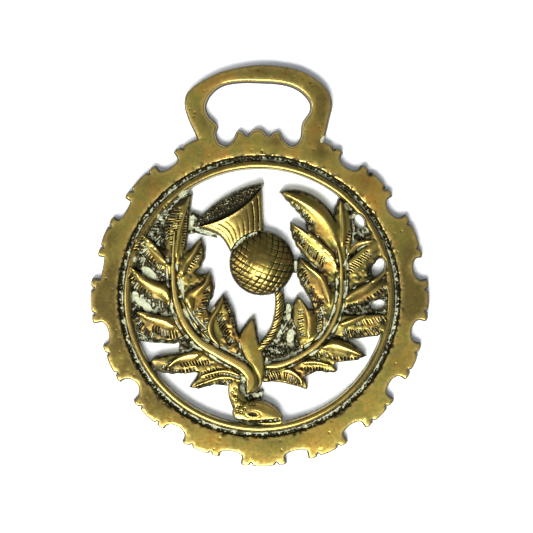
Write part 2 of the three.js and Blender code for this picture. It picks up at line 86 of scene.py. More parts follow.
# The rim pattern, with how far each carved notch and crown is out of its even place
NOTCH_COUNT = 16
FIRST_NOTCH = 12
TOOTH_SPAN = 3.6
NICK_HALF_SPAN = 0.6
NOTCH_TURN = [-2.2, -1.1, -0.7, -1.7, 0.8, 0.4, 0.8, 0.4, 1.1, 0.8, 0.8, 0, 0.8, 0.4, -0.7, -1.9]
NOTCH_RISE = [0.1, -0.1, 0, -0.3, -0.1, 0.5, 1, 1.2, 0.3, -0.8, -0.2, 0.6, 0.7, 0.5, 0.1, 0]
CROWN_RISE = [-0.3, -0.4, -0.4, -0.2, 0.2, 0, -0.1, 0.3, -0.7, -0.8, -0.6, 0.3, 0.4, 0.2, -0.1, 0]

# The grid of heights
STEP = 0.13
MARGIN = 1.0
columns = np.arange(-FACE_RADIUS - MARGIN, FACE_RADIUS + MARGIN, STEP)
rows = np.arange(-FACE_RADIUS - MARGIN, HANGER_TOP + MARGIN, STEP)
grid_x, grid_y = np.meshgrid(columns, rows)
FAR_OUTSIDE = -3.0
WHOLE = (slice(None), slice(None))
ring_distance = np.hypot(grid_x - RING_OFFSET, grid_y)

# On the grid: heights, cuts into the forms, dried polish, the tuft's dark ground and its dots,
# dark specks, and how far each place lies inside the outline
height, carved, pale, tuft_dark, tuft_dots, specks = np.zeros((6, *grid_x.shape))
inside = np.full(grid_x.shape, FAR_OUTSIDE)


# Paths, outlines and distances

def smooth_through(points, steps):
    """Points along a smooth path through the given ones."""
    points = np.array(points, float)
    padded = np.vstack([2 * points[0] - points[1], points, 2 * points[-1] - points[-2]])
    found = []
    for place in np.linspace(0, len(points) - 1, steps + 1):
        i = min(int(place), len(points) - 2)
        t = place - i
        a, b, c, d = padded[i:i + 4]
        found.append(
            b + 0.5 * t * (c - a + t * (2 * a - 5 * b + 4 * c - d + t * (3 * (b - c) + d - a)))
        )
    return np.array(found)


def bent_path(base, bend, tip, steps=20):
    """Points along the curve from base to tip that leans towards bend."""
    t = np.linspace(0, 1, steps + 1)[:, None]
    base, bend, tip = (np.array(p, float) for p in (base, bend, tip))
    return (1 - t) ** 2 * base + 2 * t * (1 - t) * bend + t ** 2 * tip


def along_path(points, x, y):
    """The signed distance to a path, positive on its left, and the share of its length there."""
    pieces = np.diff(points, axis=0)
    lengths = np.hypot(pieces[:, 0], pieces[:, 1])
    starts = np.concatenate([[0], np.cumsum(lengths)])
    nearest = np.full(x.shape, np.inf)
    offset = np.zeros(x.shape)
    share = np.zeros(x.shape)
    for (ax, ay), (dx, dy), length, start in zip(points, pieces, lengths, starts):
        if length == 0:
            continue
        t = unit(((x - ax) * dx + (y - ay) * dy) / length ** 2)
        away_x = x - ax - dx * t
        away_y = y - ay - dy * t
        away = np.hypot(away_x, away_y)
        closer = away < nearest
        nearest = np.where(closer, away, nearest)
        share = np.where(closer, (start + t * length) / starts[-1], share)
        offset = np.where(closer, np.where(dx * away_y - dy * away_x < 0, -away, away), offset)
    return offset, share


def within(outline, x, y):
    """How far each place lies inside a closed outline, negative outside it."""
    closed = np.vstack([outline, outline[:1]])
    away = np.abs(along_path(closed, x, y)[0])
    enclosed = np.zeros(x.shape, bool)
    for (ax, ay), (bx, by) in zip(closed, closed[1:]):
        if ay != by:
            spans = (ay > y) != (by > y)
            enclosed ^= spans & (x < (bx - ax) * (y - ay) / (by - ay) + ax)
    return np.where(enclosed, away, -away)


def window(points, margin=0.8):
    """The part of the grid around some points."""
    low = np.min(points, axis=0) - margin
    high = np.max(points, axis=0) + margin
    across = slice(*np.searchsorted(columns, [low[0], high[0]]))
    up = slice(*np.searchsorted(rows, [low[1], high[1]]))
    return up, across


def beside(path, margin):
    """The part of the grid around a path, with the offset and share of the path there."""
    area = window(path, margin)
    return area, *along_path(path, grid_x[area], grid_y[area])


def area_of(outline, margin=0.8):
    """The part of the grid around an outline, and how far inside it each place lies."""
    outline = np.array(outline)
    area = window(outline, margin)
    return area, within(outline, grid_x[area], grid_y[area])


def path_length(path):
    return np.hypot(*np.diff(path, axis=0).T).sum()


def turned(x, y, turn):
    """A place as seen in axes that are turned by some degrees."""
    angle = math.radians(turn)
    return x * math.cos(angle) + y * math.sin(angle), y * math.cos(angle) - x * math.sin(angle)


def polar(radius, turn):
    return turned(radius, 0, -turn)


# Soft shapes and random patches

def unit(values):
    return np.clip(values, 0, 1)


def fading(share, start, end):
    """Falls to 0 at both ends of a path."""
    return unit(share / start) * unit((1 - share) / end)


def hump(away, reach, power=2):
    """Falls from 1 at no distance towards 0 beyond the reach."""
    return np.exp(-(away / reach) ** power)


def spot(x, y, reach, area=WHOLE):
    """A round hump about one place."""
    return np.exp(-((grid_x[area] - x) ** 2 + (grid_y[area] - y) ** 2) / reach ** 2)


def from_whole(place):
    """How far a place lies from the nearest whole number, 1 when it is halfway."""
    return np.abs(place - np.round(place)) * 2


def smoothed(values, reach):
    """The grid values spread out over a reach in millimetres."""
    spread = reach / STEP
    size = int(math.ceil(2.5 * spread))
    weights = np.exp(-0.5 * (np.arange(-size, size + 1) / spread) ** 2)
    weights /= weights.sum()
    for axis in (0, 1):
        widths = [(size, size) if axis == k else (0, 0) for k in (0, 1)]
        padded = np.pad(values, widths, mode="edge")
        total = np.zeros(values.shape)
        for k, weight in enumerate(weights):
            part = slice(k, k + values.shape[axis])
            total += weight * (padded[part] if axis == 0 else padded[:, part])
        values = total
    return values


def mottle(size, seed):
    """Smooth random values from 0 to 1 over the grid, with patches of about this size."""
    chance = np.random.default_rng(seed)
    patch = chance.random((int(np.ptp(rows) / size) + 4, int(np.ptp(columns) / size) + 4))
    u = (grid_x - columns[0]) / size
    v = (grid_y - rows[0]) / size
    i = np.floor(u).astype(int)
    j = np.floor(v).astype(int)
    fu = (u - i) ** 2 * (3 - 2 * (u - i))
    fv = (v - j) ** 2 * (3 - 2 * (v - j))
    low = patch[j, i] * (1 - fu) + patch[j, i + 1] * fu
    high = patch[j + 1, i] * (1 - fu) + patch[j + 1, i + 1] * fu
    return low * (1 - fv) + high * fv


# Lumps in rough ground, and the places where cuts are full of dried polish
LUMPS = 0.6 * mottle(0.5, 3) + 0.4 * mottle(1.1, 4)
COARSE = mottle(1.8, 6)


def dried_polish(area):
    """How full of dried polish a groove is, from place to place."""
    return np.clip(1.2 * COARSE[area] + 0.3, 0.5, 1)


# Laying forms on the back

WALL_LEAN = 0.4
SHADED_LEAN = 0.35
HANGER_WAY = (0.3, 0.95)

# Two heights this close belong to the same form
SAME_FORM = 0.02


def rounded_edge(depth, lean):
    """Rises from 0 at an edge to 1 within the lean, steep first and then rounding over."""
    part = unit(depth / lean)
    return np.sqrt(1 - (1 - part) ** 2)


def facing_hanger(depth):
    """How far the nearest edge faces the hanger, from 0 to 1."""
    slope_y, slope_x = np.gradient(depth, STEP)
    steepness = np.maximum(np.hypot(slope_x, slope_y), 1e-6)
    return unit(-(HANGER_WAY[0] * slope_x + HANGER_WAY[1] * slope_y) / steepness)


def raise_to(grid, area, values):
    grid[area] = np.maximum(grid[area], values)


def wipe(area, covered):
    """Clears cuts and dried polish where a new form covers them."""
    for grid in (carved, pale):
        grid[area] = np.where(covered, 0, grid[area])


def lay(area, top, depth, lean=WALL_LEAN, shaded=SHADED_LEAN):
    """Adds a form: its top heights over the part of an area where its depth is above 0."""
    width = lean + shaded * facing_hanger(depth)
    form = np.where(depth > 0, top * rounded_edge(depth, width), 0)
    wipe(area, (form > height[area]) & (depth > 0))
    raise_to(height, area, form)
    raise_to(inside, area, depth)
    return form


def carve(area, amount, reached):
    """Cuts into a form where it is the highest one."""
    raise_to(carved, area, np.where(height[area] <= reached + SAME_FORM, amount, 0))


def open_up(area, clear, lean):
    """Cuts a hole, where clear is how far each place lies outside it."""
    inside[area] = np.minimum(inside[area], clear)
    height[area] *= rounded_edge(clear, lean)


# Rim, bead and groove

BEAD_MIDDLE = RING_RADIUS + BEAD_WIDTH / 2
GROOVE_START = RING_RADIUS + BEAD_WIDTH
FACE_EDGE = PLATE - 0.1
CROWNING = 0.162
BAND_MIDDLE = 34.5
BAND_HALF = 4.5


def notch_points(turn, floor_radius):
    """The round hollow of one notch."""
    mouth_drop = 1.7
    arc_steps = 10
    depth = min(NOTCH_WIDTH / 2, FACE_RADIUS - mouth_drop - floor_radius)
    points = []
    for i in range(arc_steps + 1):
        angle = math.pi * i / arc_steps
        across = -math.cos(angle) * NOTCH_WIDTH / 2
        along = floor_radius + depth * (1 - math.sin(angle))
        points.append(turned(along, across, -turn))
    return points


def crown_points(start, end, radius):
    """The broad tooth between two notches, with a nick and a narrow tooth on each side."""
    corner_drop = 0.35
    nick_shoulder = 0.12
    middle_rise = 0.03
    broad = end - start - 2 * TOOTH_SPAN
    half = [
        (0, corner_drop), (TOOTH_SPAN * 0.2, 0.08), (TOOTH_SPAN * 0.4, 0),
        (TOOTH_SPAN - NICK_HALF_SPAN, nick_shoulder), (TOOTH_SPAN, NICK_DEPTH),
        (TOOTH_SPAN + NICK_HALF_SPAN, nick_shoulder), (TOOTH_SPAN + broad * 0.15, 0.04),
        (TOOTH_SPAN + broad * 0.3, 0),
    ]
    corners = [(start + away, drop) for away, drop in half]
    corners.append(((start + end) / 2, -middle_rise))
    corners += [(end - away, drop) for away, drop in reversed(half)]
    return [polar(radius - drop, turn) for turn, drop in corners]


def rim_outline():
    period = 360 / NOTCH_COUNT
    half = math.degrees(math.asin(NOTCH_WIDTH / 2 / FACE_RADIUS))
    places = [FIRST_NOTCH + k * period + turn for k, turn in enumerate(NOTCH_TURN)]
    places.append(places[0] + 360)
    points = []
    for k in range(NOTCH_COUNT):
        points += notch_points(places[k], FACE_RADIUS - NOTCH_DEPTH + NOTCH_RISE[k])
        points += crown_points(places[k] + half, places[k + 1] - half, FACE_RADIUS + CROWN_RISE[k])
    return np.array(points)


def lay_rim():
    far_inside = 2
    near = np.hypot(grid_x, grid_y) > FACE_RADIUS - NOTCH_DEPTH - 3.5
    band = np.full(grid_x.shape, far_inside, float)
    band[near] = within(rim_outline(), grid_x[near], grid_y[near])
    band = np.minimum(band, ring_distance - RING_RADIUS)
    across = np.clip((ring_distance - BAND_MIDDLE) / BAND_HALF, -1, 1)
    face = FACE_EDGE + CROWNING * np.cos(across * math.pi / 2)
    ragged = 0.55 + 0.2 * mottle(0.4, 61)
    across = (ring_distance - GROOVE_START - GROOVE_WIDTH * 0.45) / (GROOVE_WIDTH * ragged)
    groove = unit(1 - across ** 2) ** 0.7 * (PLATE - GROOVE_FLOOR)
    groove *= 0.5 + 0.6 * mottle(0.32, 62)
    lay(WHOLE, face - groove, band, lean=PLATE_EDGE, shaded=0)
    from_bead = np.abs(ring_distance - BEAD_MIDDLE)
    round_top = np.sqrt(1 - unit(from_bead / (BEAD_WIDTH / 2)) ** 2)
    bead = BEAD_HEIGHT - BEAD_WIDTH * 0.5 + BEAD_WIDTH * 0.5 * round_top
    lay(WHOLE, bead, BEAD_WIDTH / 2 - from_bead, lean=0.3, shaded=0)


# Hanger: a strap loop that stands on the rim

HANGER_OUTLINE = smooth_through([
    (-13.6, 32), (-14.2, 35.3), (-16, 39.2), (-17.1, 42.6), (-16.8, 45.4), (-15, 47.3), (-12, 49.2),
    (-7.5, 51), (0, HANGER_TOP), (7.5, 51.3), (12, 49.3), (15, 46.6), (16.2, 43.4), (15.5, 39.8),
    (14.5, 35.5), (13.6, 32),
], 90)
SLOT_OUTLINE = smooth_through([
    (-7.8, 33.9), (-9.2, 34.6), (-9.9, 36.6), (-9.5, 38.4), (-11.5, 40.5), (-12.2, 42.6),
    (-11.2, 45), (-8.7, 47.1), (-5, 47.9), (0, 47.9), (5, 47.5), (8.5, 46.2), (10.8, 43.8),
    (11, 41.5), (9.3, 38.9), (8.9, 35.6), (7.3, 33.9), (5.5, 35), (4.5, 36.9), (3.8, 37.1),
    (2.7, 36.8), (1.8, 36.1), (0.7, 37.3), (-0.6, 37.8), (-2, 37.3), (-2.9, 36.2), (-3.3, 36.2),
    (-4, 37), (-4.9, 37.4), (-5.5, 36.9), (-6.4, 35), (-7.8, 33.9),
], 140)


def lay_hanger():
    area, depth = area_of(HANGER_OUTLINE)
    clear = -within(SLOT_OUTLINE, grid_x[area], grid_y[area])
    depth = np.minimum(depth, clear)
    lay(area, PLATE + 0.05 * np.clip(depth, 0, 2), depth, lean=PLATE_EDGE, shaded=0)
    open_up(area, clear, 0.7)


# Leaves

SKIRT = 3.0
SKIRT_LEVEL = 2.65
SKIRT_EDGE = 0.3
SLOPE_FALL = 0.4
SMOOTH_FALL = 0.35
TIP_RISE = 0.65
SCALLOP = 0.09
SCALLOP_PITCH = 1.9
LOBE_TIP = 0.18

# Each lobe springs from a rib at its base, leans by way of its bend and ends at its tip. A row
# gives base, bend, tip, half width at the root and at the belly, where along it the belly lies,
# how blunt the tip is, how far the crest lies to the left of the middle, the side that veins
# are cut on (1 for left, -1 for right), and the veins' pitch and slant.
LOBES = [
    ((-19, 8.5), (-20, 18.5), (-15.3, 23), 1.8, 2.9, 0.4, 0.8, -0.3, 1, 0.8, 0.7),
    ((-19.6, 5.6), (-24, 9), (-28, 13), 1.4, 1.6, 0.5, 0.3, -0.3, 1, 0.95, 0.3),
    ((-19.3, 0.2), (-24, 0.4), (-29.4, 4.6), 2.2, 2.1, 0.3, 0.3, -0.2, 1, 0.95, 0.2),
    ((-17.6, -6.5), (-23, -8.2), (-28.6, -5), 2.6, 3, 0.3, 0.35, -0.5, 1, 0.7, 0.3),
    ((-12.5, -13.2), (-18.5, -16), (-24.6, -14.6), 2.2, 2.5, 0.5, 0.4, -0.3, 1, 0.75, 0.4),
    ((-4, -17.3), (-9.5, -16.8), (-15.9, -20.4), 1.6, 2, 0.4, 0.7, -0.4, 1, 0.75, 0.3),
    ((-18, 4.5), (-14.2, 6.8), (-13.4, 13.1), 1.7, 2, 0.55, 0.75, 0.3, -1, 0.75, 0.5),
    ((-17.4, -2.2), (-12, -1.4), (-11.6, 5.7), 2.6, 2.4, 0.4, 0.75, 0.3, -1, 0.75, 0.5),
    ((-12.4, -10.2), (-8, -6), (-8.4, 0.6), 2.8, 3.1, 0.35, 0.8, 0.4, -1, 0.6, 0.4),
    ((16.2, 10.5), (14.4, 20.6), (4.4, 23.5), 2, 3, 0.45, 0.7, 0.2, 1, 0.8, 0.6),
    ((18.2, 8.5), (18.9, 15), (17.9, 22.4), 1.6, 2.3, 0.5, 0.7, 0.2, 1, 0.8, 0.8),
    ((18, 4.5), (21.5, 6.5), (27.5, 12.6), 1.6, 2.5, 0.5, 0.3, 0.3, -1, 0.7, 0.3),
    ((18, -1), (22.5, 0.4), (29, 2.2), 2, 2.3, 0.5, 0.2, 0.2, -1, 0.75, 0.4),
    ((16.8, -6.4), (22, -7), (29, -5.2), 2.6, 2.8, 0.4, 0.3, 0.4, -1, 0.7, 0.4),
    ((12, -11), (18.2, -11.6), (23.8, -13.4), 2.2, 2.7, 0.4, 0.9, 0.1, -1, 0.65, 0.5),
    ((8.5, -14.6), (13, -15.2), (17.2, -16.6), 1.6, 1.5, 0.4, 0.4, 0.3, -1, 0.6, 0.2),
    ((1.2, -17.4), (8, -16.4), (10.4, -20.8), 2, 1.9, 0.5, 0.6, 0.2, -1, 0.6, 0.3),
    ((16.6, 6), (11, 10.2), (6.6, 16.7), 1.6, 2.4, 0.4, 0.75, -0.3, 1, 0.7, 0.6),
    ((16.2, -1.4), (11.6, 2.4), (8.7, 8.8), 2, 2.8, 0.5, 0.7, -0.3, 1, 0.6, 0.9),
    ((12.2, -10.4), (9, -6), (8.3, 0.1), 2.4, 2.4, 0.45, 0.7, -0.1, 1, 0.65, 0.5),
]
MIDDLE_PATH = smooth_through([
    (-3.1, -21.8), (-1.1, -20.3), (-0.7, -17), (-1.3, -13.5), (-2.6, -9.8), (-2.1, -6.5),
    (-1.5, -4.3),
], 30)
MIDDLE_FORM = (0.35, 2.35, 0.62, 0.75, 0.25)


def lobe_width(share, root, belly, at, point):
    growth = np.sin(math.pi / 2 * unit(share / at))
    past = unit((share - at) / (1 - at))
    closing = np.maximum(belly * (1 - past ** 2) ** point, LOBE_TIP)
    return np.where(share < at, root + (belly - root) * growth, closing)


STROKE_CHANCE = np.random.default_rng(17).random(97)


def stroke_chance(number, step=1):
    return STROKE_CHANCE[(number * step) % len(STROKE_CHANCE)]


def stroke_wave(place):
    """Cut strokes side by side, uneven in depth and width, one for each whole step of place."""
    number = np.floor(place).astype(int)
    width = 0.5 + 0.25 * stroke_chance(number, 7)
    wave = unit(np.sin(math.pi * unit((place - number) / width))) ** 0.8
    return wave * unit(1.25 * stroke_chance(number) + 0.25)


def lay_lobe(path, root, belly, at, point, crest, cut=0, pitch=1, slant=0,
             ridge=LEAF_FACE, edge=LEAF_EDGE):
    """A low smooth face on both sides of the crest, and rough ground beyond its cut edge."""
    skirt = SKIRT * abs(cut)
    area, offset, share = beside(path, belly + skirt + 0.6)
    along = share * path_length(path)
    way = cut or 1
    scallop = SCALLOP * np.sin(along * 2 * math.pi / SCALLOP_PITCH + 3 * belly)
    scallop *= abs(cut) * unit(share * 6) * (offset * way > 0)
    half = lobe_width(share, root, belly, at, point) + scallop
    depth = half - np.abs(offset)
    from_crest = (offset - crest * half) * way
    toward_edge = unit(-from_crest / (half * (1 + crest * way)))
    toward_cut = unit(from_crest / (half * (1 - crest * way)))
    level = ridge - (ridge - edge - TIP_RISE) * share ** 2
    slope = level - SLOPE_FALL * toward_cut ** 1.2
    face = level - SMOOTH_FALL * toward_edge ** 1.8
    lay(area, np.where(from_crest > 0, slope, face), depth)
    if not cut:
        return
    beyond = (depth < 0.05) & (depth > -skirt) & (from_crest > 0) & (share > 0) & (share < 0.97)
    low = SKIRT_LEVEL - 0.35 * unit(-depth / skirt) - 0.2 * share
    low = low + 0.7 * (LUMPS[area] - 0.5)
    raised = beyond & (inside[area] > 0.25) & (height[area] < low)
    carved[area] = np.where(raised, 0, carved[area])
    height[area] = np.where(raised, low, height[area])
    strokes = stroke_wave((along + 1.3 * slant * from_crest) / (pitch * 0.95))
    strokes = strokes * unit((depth + skirt) / SKIRT_EDGE) * unit(2.4 * COARSE[area] - 0.6)
    cuts = np.where(raised & (depth < -0.1) & (inside[area] > 0.5), strokes, 0)
    raise_to(carved, area, 0.4 * cuts)
    raise_to(pale, area, 0.75 * cuts * unit(3 * COARSE[area] - 1.2))


# Sheets: the flat of the leaves between the lobes, with a level for each outline
SHEETS = [
    (3, [
        (-19.5, 9), (-16.8, 11.2), (-15.6, 10.9), (-14.6, 11.8), (-13.3, 12.8), (-12.9, 10.4),
        (-13.1, 8.6), (-14, 6.4), (-14.3, 5.6), (-13.4, 5.2), (-11.5, 5.5), (-10.8, 2.4), (-11.1, -0.3),
        (-11.7, -2.6), (-11, -3.6), (-10, -3.2), (-9.3, -1), (-8.5, 0.3), (-6.8, -1.5), (-5.6, -3.9),
        (-5, -7.5), (-4.6, -8.5), (-4, -9), (-5, -14.5), (-9, -13), (-14, -9.8), (-17.5, -5),
        (-19.2, 1),
    ]),
    (3, [
        (16, 16), (12.4, 17.4), (10, 16.4), (10.5, 14.5), (9.5, 14.4), (8.4, 14.9), (6.7, 16.6),
        (7.3, 13.1), (9.1, 10.4), (11.8, 7.7), (12.7, 5.9), (11.8, 5.1), (10, 5.9), (8.5, 8.2),
        (8.3, 4.6), (9.5, 1.9), (11.1, -0.8), (11.8, -2.6), (11, -2.7), (10, -2.1), (8.2, -0.1),
        (7.3, -3), (7.8, -8.6), (9, -12.4), (13, -10.5), (15.7, -7), (17.3, -3), (18.1, 2), (18.2, 7),
        (17.3, 11),
    ]),
    (2.95, [
        (-19.2, 12), (-21.6, 11), (-24.4, 13), (-27, 14.2), (-27.4, 10.4), (-24.6, 6.8), (-20.8, 4.4),
        (-19.4, 6),
    ]),
    (2.95, [
        (-19.4, 3.4), (-23.6, 3.8), (-27, 5.8), (-29.4, 8), (-29.2, 3.4), (-27.2, 0.6), (-24.6, -1.2),
        (-20.6, -3), (-19, -2),
    ]),
    (2.9, [
        (-18.8, -5.4), (-22.6, -4.2), (-26, -3.2), (-28.4, -2.6), (-27.8, -6), (-25.4, -9.6),
        (-20, -10.2), (-17, -8.8),
    ]),
    (3, [
        (19, 4.6), (20.2, 8.4), (21.8, 9.4), (23.2, 12), (23, 14.2), (25.6, 14.4), (27.9, 9.4),
        (26.4, 9), (24.8, 7.6), (24.4, 5.2), (26, 4.6), (28.8, 5.6), (29.4, 1.4), (24.6, -0.6),
        (19.4, -2.8), (18.6, 0),
    ]),
    (2.95, [
        (18.2, -4), (23.6, -3.4), (26, -4), (28.8, -3.4), (28.6, -7), (26.4, -9), (19.6, -9.6),
        (16.4, -8),
    ]),
    (3.05, [
        (12.4, -10.8), (16.6, -10.8), (19.4, -11), (23.4, -13), (22, -14.4), (17, -14.9), (16.2, -17.1),
        (12.8, -16.9), (9.9, -18.2), (9.4, -20.6), (5, -19.5), (1.3, -19.1), (1.2, -16.6), (5, -15.4),
        (9, -13.6),
    ]),
    (3.05, [
        (-13, -12.2), (-17, -12.6), (-19, -13.2), (-23, -14.3), (-21.4, -16.5), (-17, -17.5),
        (-14, -17), (-15.8, -20.4), (-14, -20.9), (-10.4, -19.9), (-7.6, -20.2), (-4, -19.4),
        (-3.8, -16), (-9, -13.4),
    ]),
]


def lay_sheets():
    for level, outline in SHEETS:
        area, depth = area_of(outline)
        uneven = 0.35 * (LUMPS[area] - 0.5) + 0.12 * np.clip(depth, 0, 1.5)
        lay(area, level + uneven, depth)


# Smooth swellings on the leaves, like tongues: a crest line that starts at the blunt end, how
# wide it is left and right of that line, and how far it rises over the face
TONGUES = [
    ([(-18.9, 9), (-18.6, 12), (-17.8, 16), (-16.4, 20)], 0.5, 0.6, 0.3),
    ([(-20.9, 7.2), (-22.5, 9.7), (-24, 11.6), (-26.3, 13.9)], 1.7, 0.4, 0.7),
    ([(-20.4, -1.2), (-21.4, 1.5), (-24.3, 2.9), (-27, 4.6), (-29, 6.6)], 2, 0.9, 0.7),
    ([(-19, -7), (-21.5, -5.4), (-24.2, -4.6), (-27.8, -3.4)], 1.7, 0.9, 0.75),
    ([(-13.4, -12.9), (-16, -12.9), (-18.6, -13.9), (-20.8, -15.8)], 1.6, 0.5, 0.7),
    ([(-3.6, -17.9), (-8, -16.6), (-12, -17.4), (-13.4, -18)], 0.5, 0.3, 0.4),
    ([(-3.8, -19), (-8, -18), (-12.4, -19.2), (-15.4, -20.4)], 0.6, 0.3, 0.45),
    ([(-17.6, 4.6), (-16.9, 7.6), (-15, 9.8), (-13.4, 12.7)], 1.1, 1, 0.6),
    ([(-15.6, -3), (-16.2, 0), (-14.4, 1.4), (-12.3, 3), (-11.6, 5.2)], 0.8, 1.4, 0.65),
    ([(-9.2, -11.3), (-11.2, -8.6), (-11.2, -5.4), (-9.4, -2.4), (-8.4, 0.3)], 0.5, 0.8, 0.5),
    ([(17.2, 11.2), (15.8, 15.2), (13.6, 18.2), (10, 20.8), (5, 23.2)], 1.5, 1.9, 0.6),
    ([(18.3, 11.5), (18.5, 15.5), (17.9, 21.6)], 0.8, 0.7, 0.3),
    ([(17, 7), (16.2, 8.8), (13.5, 11.6), (11, 14), (7, 16.2)], 1.4, 0.7, 0.65),
    ([(15.4, -1.6), (14.8, 1.5), (13.4, 4.4), (10.6, 6.6), (8.9, 8.4)], 0.9, 0.9, 0.6),
    ([(10.6, -9.4), (11.2, -6), (10.4, -3.2), (8.6, -0.3)], 0.7, 1.4, 0.55),
    ([(18.7, -0.9), (21, 1), (24.4, 2.9), (28.4, 6)], 0.7, 1.7, 0.75),
    ([(19.6, 9.4), (21.6, 11.8), (25.6, 12.6)], 0.6, 1.1, 0.5),
    ([(17.8, -6.2), (20.4, -5.2), (23.6, -3.9)], 0.4, 1.2, 0.7),
    ([(13.6, -11.4), (16.4, -10.6), (19.4, -11.6), (22.8, -13.2)], 0.8, 1.4, 0.65),
    ([(9.3, -14.8), (12.6, -14.6), (16.2, -15.6)], 0.4, 0.7, 0.5),
    ([(1.6, -16), (5.4, -15.9), (8.6, -18), (9.5, -20.4)], 0.5, 0.9, 0.5),
]


def lay_tongue(points, left, right, rise):
    area, offset, share = beside(smooth_through(points, 20), max(left, right) + 0.4)
    swell = unit(share * 4 + 0.35) * unit((1 - share) / 0.55) ** 0.6 + 0.05
    width = np.where(offset > 0, left, right) * swell
    part = unit(np.abs(offset) / width)
    swelling = rise * (1 - part ** 1.3) * (0.45 + 0.55 * fading(share, 0.06, 0.04))
    on_leaf = (np.abs(offset) < width) & (inside[area] > 0.1)
    form = np.maximum(height[area], LEAF_EDGE + 0.45) + swelling
    wipe(area, on_leaf)
    height[area] = np.where(on_leaf, form * rounded_edge(inside[area], 0.4), height[area])


# Rows of short cuts: the middle line of each row, its width, its pitch and how far it slants
CUT_ROWS = [
    ([(-26.6, 12.2), (-25.4, 9.8), (-23.6, 7.8), (-21.2, 5.8)], 1.8, 0.85, 0.2),
    ([(-29, 4.8), (-28, 2.6), (-26.4, 1), (-24.8, -0.2)], 2, 0.8, 0.3),
    ([(-25, -1), (-22.6, -1.7), (-20.2, -2.9)], 2, 0.75, 0.5),
    ([(-27.6, -5), (-26, -7.4), (-23.6, -9.2)], 1.7, 0.8, 0.3),
    ([(-24.2, -6.8), (-21.4, -8.1), (-18.4, -8.7)], 2.2, 0.7, 0.4),
    ([(-22, -15.6), (-18.4, -16.8), (-14.6, -16.2)], 1.3, 0.8, 0.2),
    ([(-18, -15.2), (-15, -14.7), (-11.2, -14.9)], 1.7, 0.7, 0.5),
    ([(-13.2, -17.2), (-9, -16.2), (-5, -16.6)], 1, 0.7, 0.4),
    ([(-14.4, -20.5), (-11, -19.7), (-6.5, -19.2)], 1.2, 0.75, 0.3),
    ([(-13, -18.4), (-9, -17.3), (-4.6, -18.2)], 0.9, 0.7, 0.3),
    ([(-21.2, 12.6), (-20.4, 16.4), (-18.3, 20)], 1.6, 0.75, 0.5),
    ([(-19.8, 11.4), (-19.1, 15), (-17.6, 18.6)], 1.6, 0.6, 0.6),
    ([(-17.3, 10.6), (-16.9, 15), (-16.4, 19.4)], 1.2, 0.6, 0.3),
    ([(-27.6, 9.6), (-24.2, 14.8), (-19.6, 21)], 2.5, 0.8, 0.6),
    ([(-13.8, 11.2), (-13.9, 9.6), (-15.2, 7.2), (-17, 5.4)], 1.2, 0.7, 0.3),
    ([(-12.1, 3.4), (-12.2, 0.4), (-12.8, -2.2), (-14.2, -4.4)], 1.6, 0.75, 0.5),
    ([(-12, -5), (-12.2, -7.6), (-10.6, -10.4)], 1.3, 0.7, 0.3),
    ([(-9.4, -3.6), (-8.2, -7), (-6.4, -10.8)], 2, 0.6, 0.5),
    ([(-8.1, -1.2), (-6.7, -4), (-5.9, -7)], 0.9, 0.8, 0.2),
    ([(7.4, 21.1), (9.4, 18.8), (12, 16.2)], 1.3, 0.8, 0.4),
    ([(7.6, 14.4), (10.4, 11.2), (14.6, 7.2)], 2, 0.65, 0.5),
    ([(9.2, 6.4), (10.4, 2.6), (13.6, -2)], 2, 0.65, 0.7),
    ([(9.1, -3), (9, -6), (9.4, -9)], 1.4, 0.6, 0.3),
    ([(13.4, 0), (13.4, -3.6), (12.6, -8)], 1.7, 0.65, 0.5),
    ([(1.2, -12.2), (5, -11.9), (9, -12)], 2.5, 0.6, 0.6),
    ([(19.3, 5.4), (21.4, 7.2), (24.4, 9.8)], 2, 0.6, 0.4),
    ([(19, 11.8), (20.4, 14.6), (23.6, 14.2)], 1.2, 0.7, 0.3),
    ([(19.4, -2.6), (23, -1.6), (25.4, -1.4)], 1.6, 0.6, 0.5),
    ([(24, -0.6), (26, 0.6), (28.2, 2.2)], 1.2, 0.85, 0.2),
    ([(18.4, -7.9), (22, -8.3), (26.6, -7.6)], 2.1, 0.6, 0.5),
    ([(21, -6), (24.8, -5.6), (28.4, -4.8)], 1.6, 0.7, 0.4),
    ([(15.6, -13.5), (19.4, -14), (22.6, -14)], 1.3, 0.8, 0.3),
    ([(10.2, -12.8), (12.6, -13), (15, -13)], 1.6, 0.6, 0.5),
    ([(9.2, -16.2), (12.6, -16.2), (15.9, -16.9)], 1.2, 0.65, 0.2),
    ([(1.4, -17.6), (5.2, -17.4), (9, -19.4)], 2.9, 0.55, 0.3),
]


def cut_row(number, points, width, pitch, slant):
    path = smooth_through(points, 16)
    area, offset, share = beside(path, width)
    place = (share * path_length(path) + slant * offset) / pitch + 5 * number
    uneven = 0.25 * stroke_chance(np.floor(place).astype(int), 5)
    edge = width / 2 - np.abs(offset) - uneven
    amount = stroke_wave(place) * unit(edge / 0.2) * (share > 0.01) * (share < 0.99)
    amount = amount * unit((inside[area] - 0.4) / 0.2)
    raise_to(carved, area, 0.5 * amount)
    raise_to(pale, area, 0.85 * amount * unit(2.4 * COARSE[area] - 0.7))


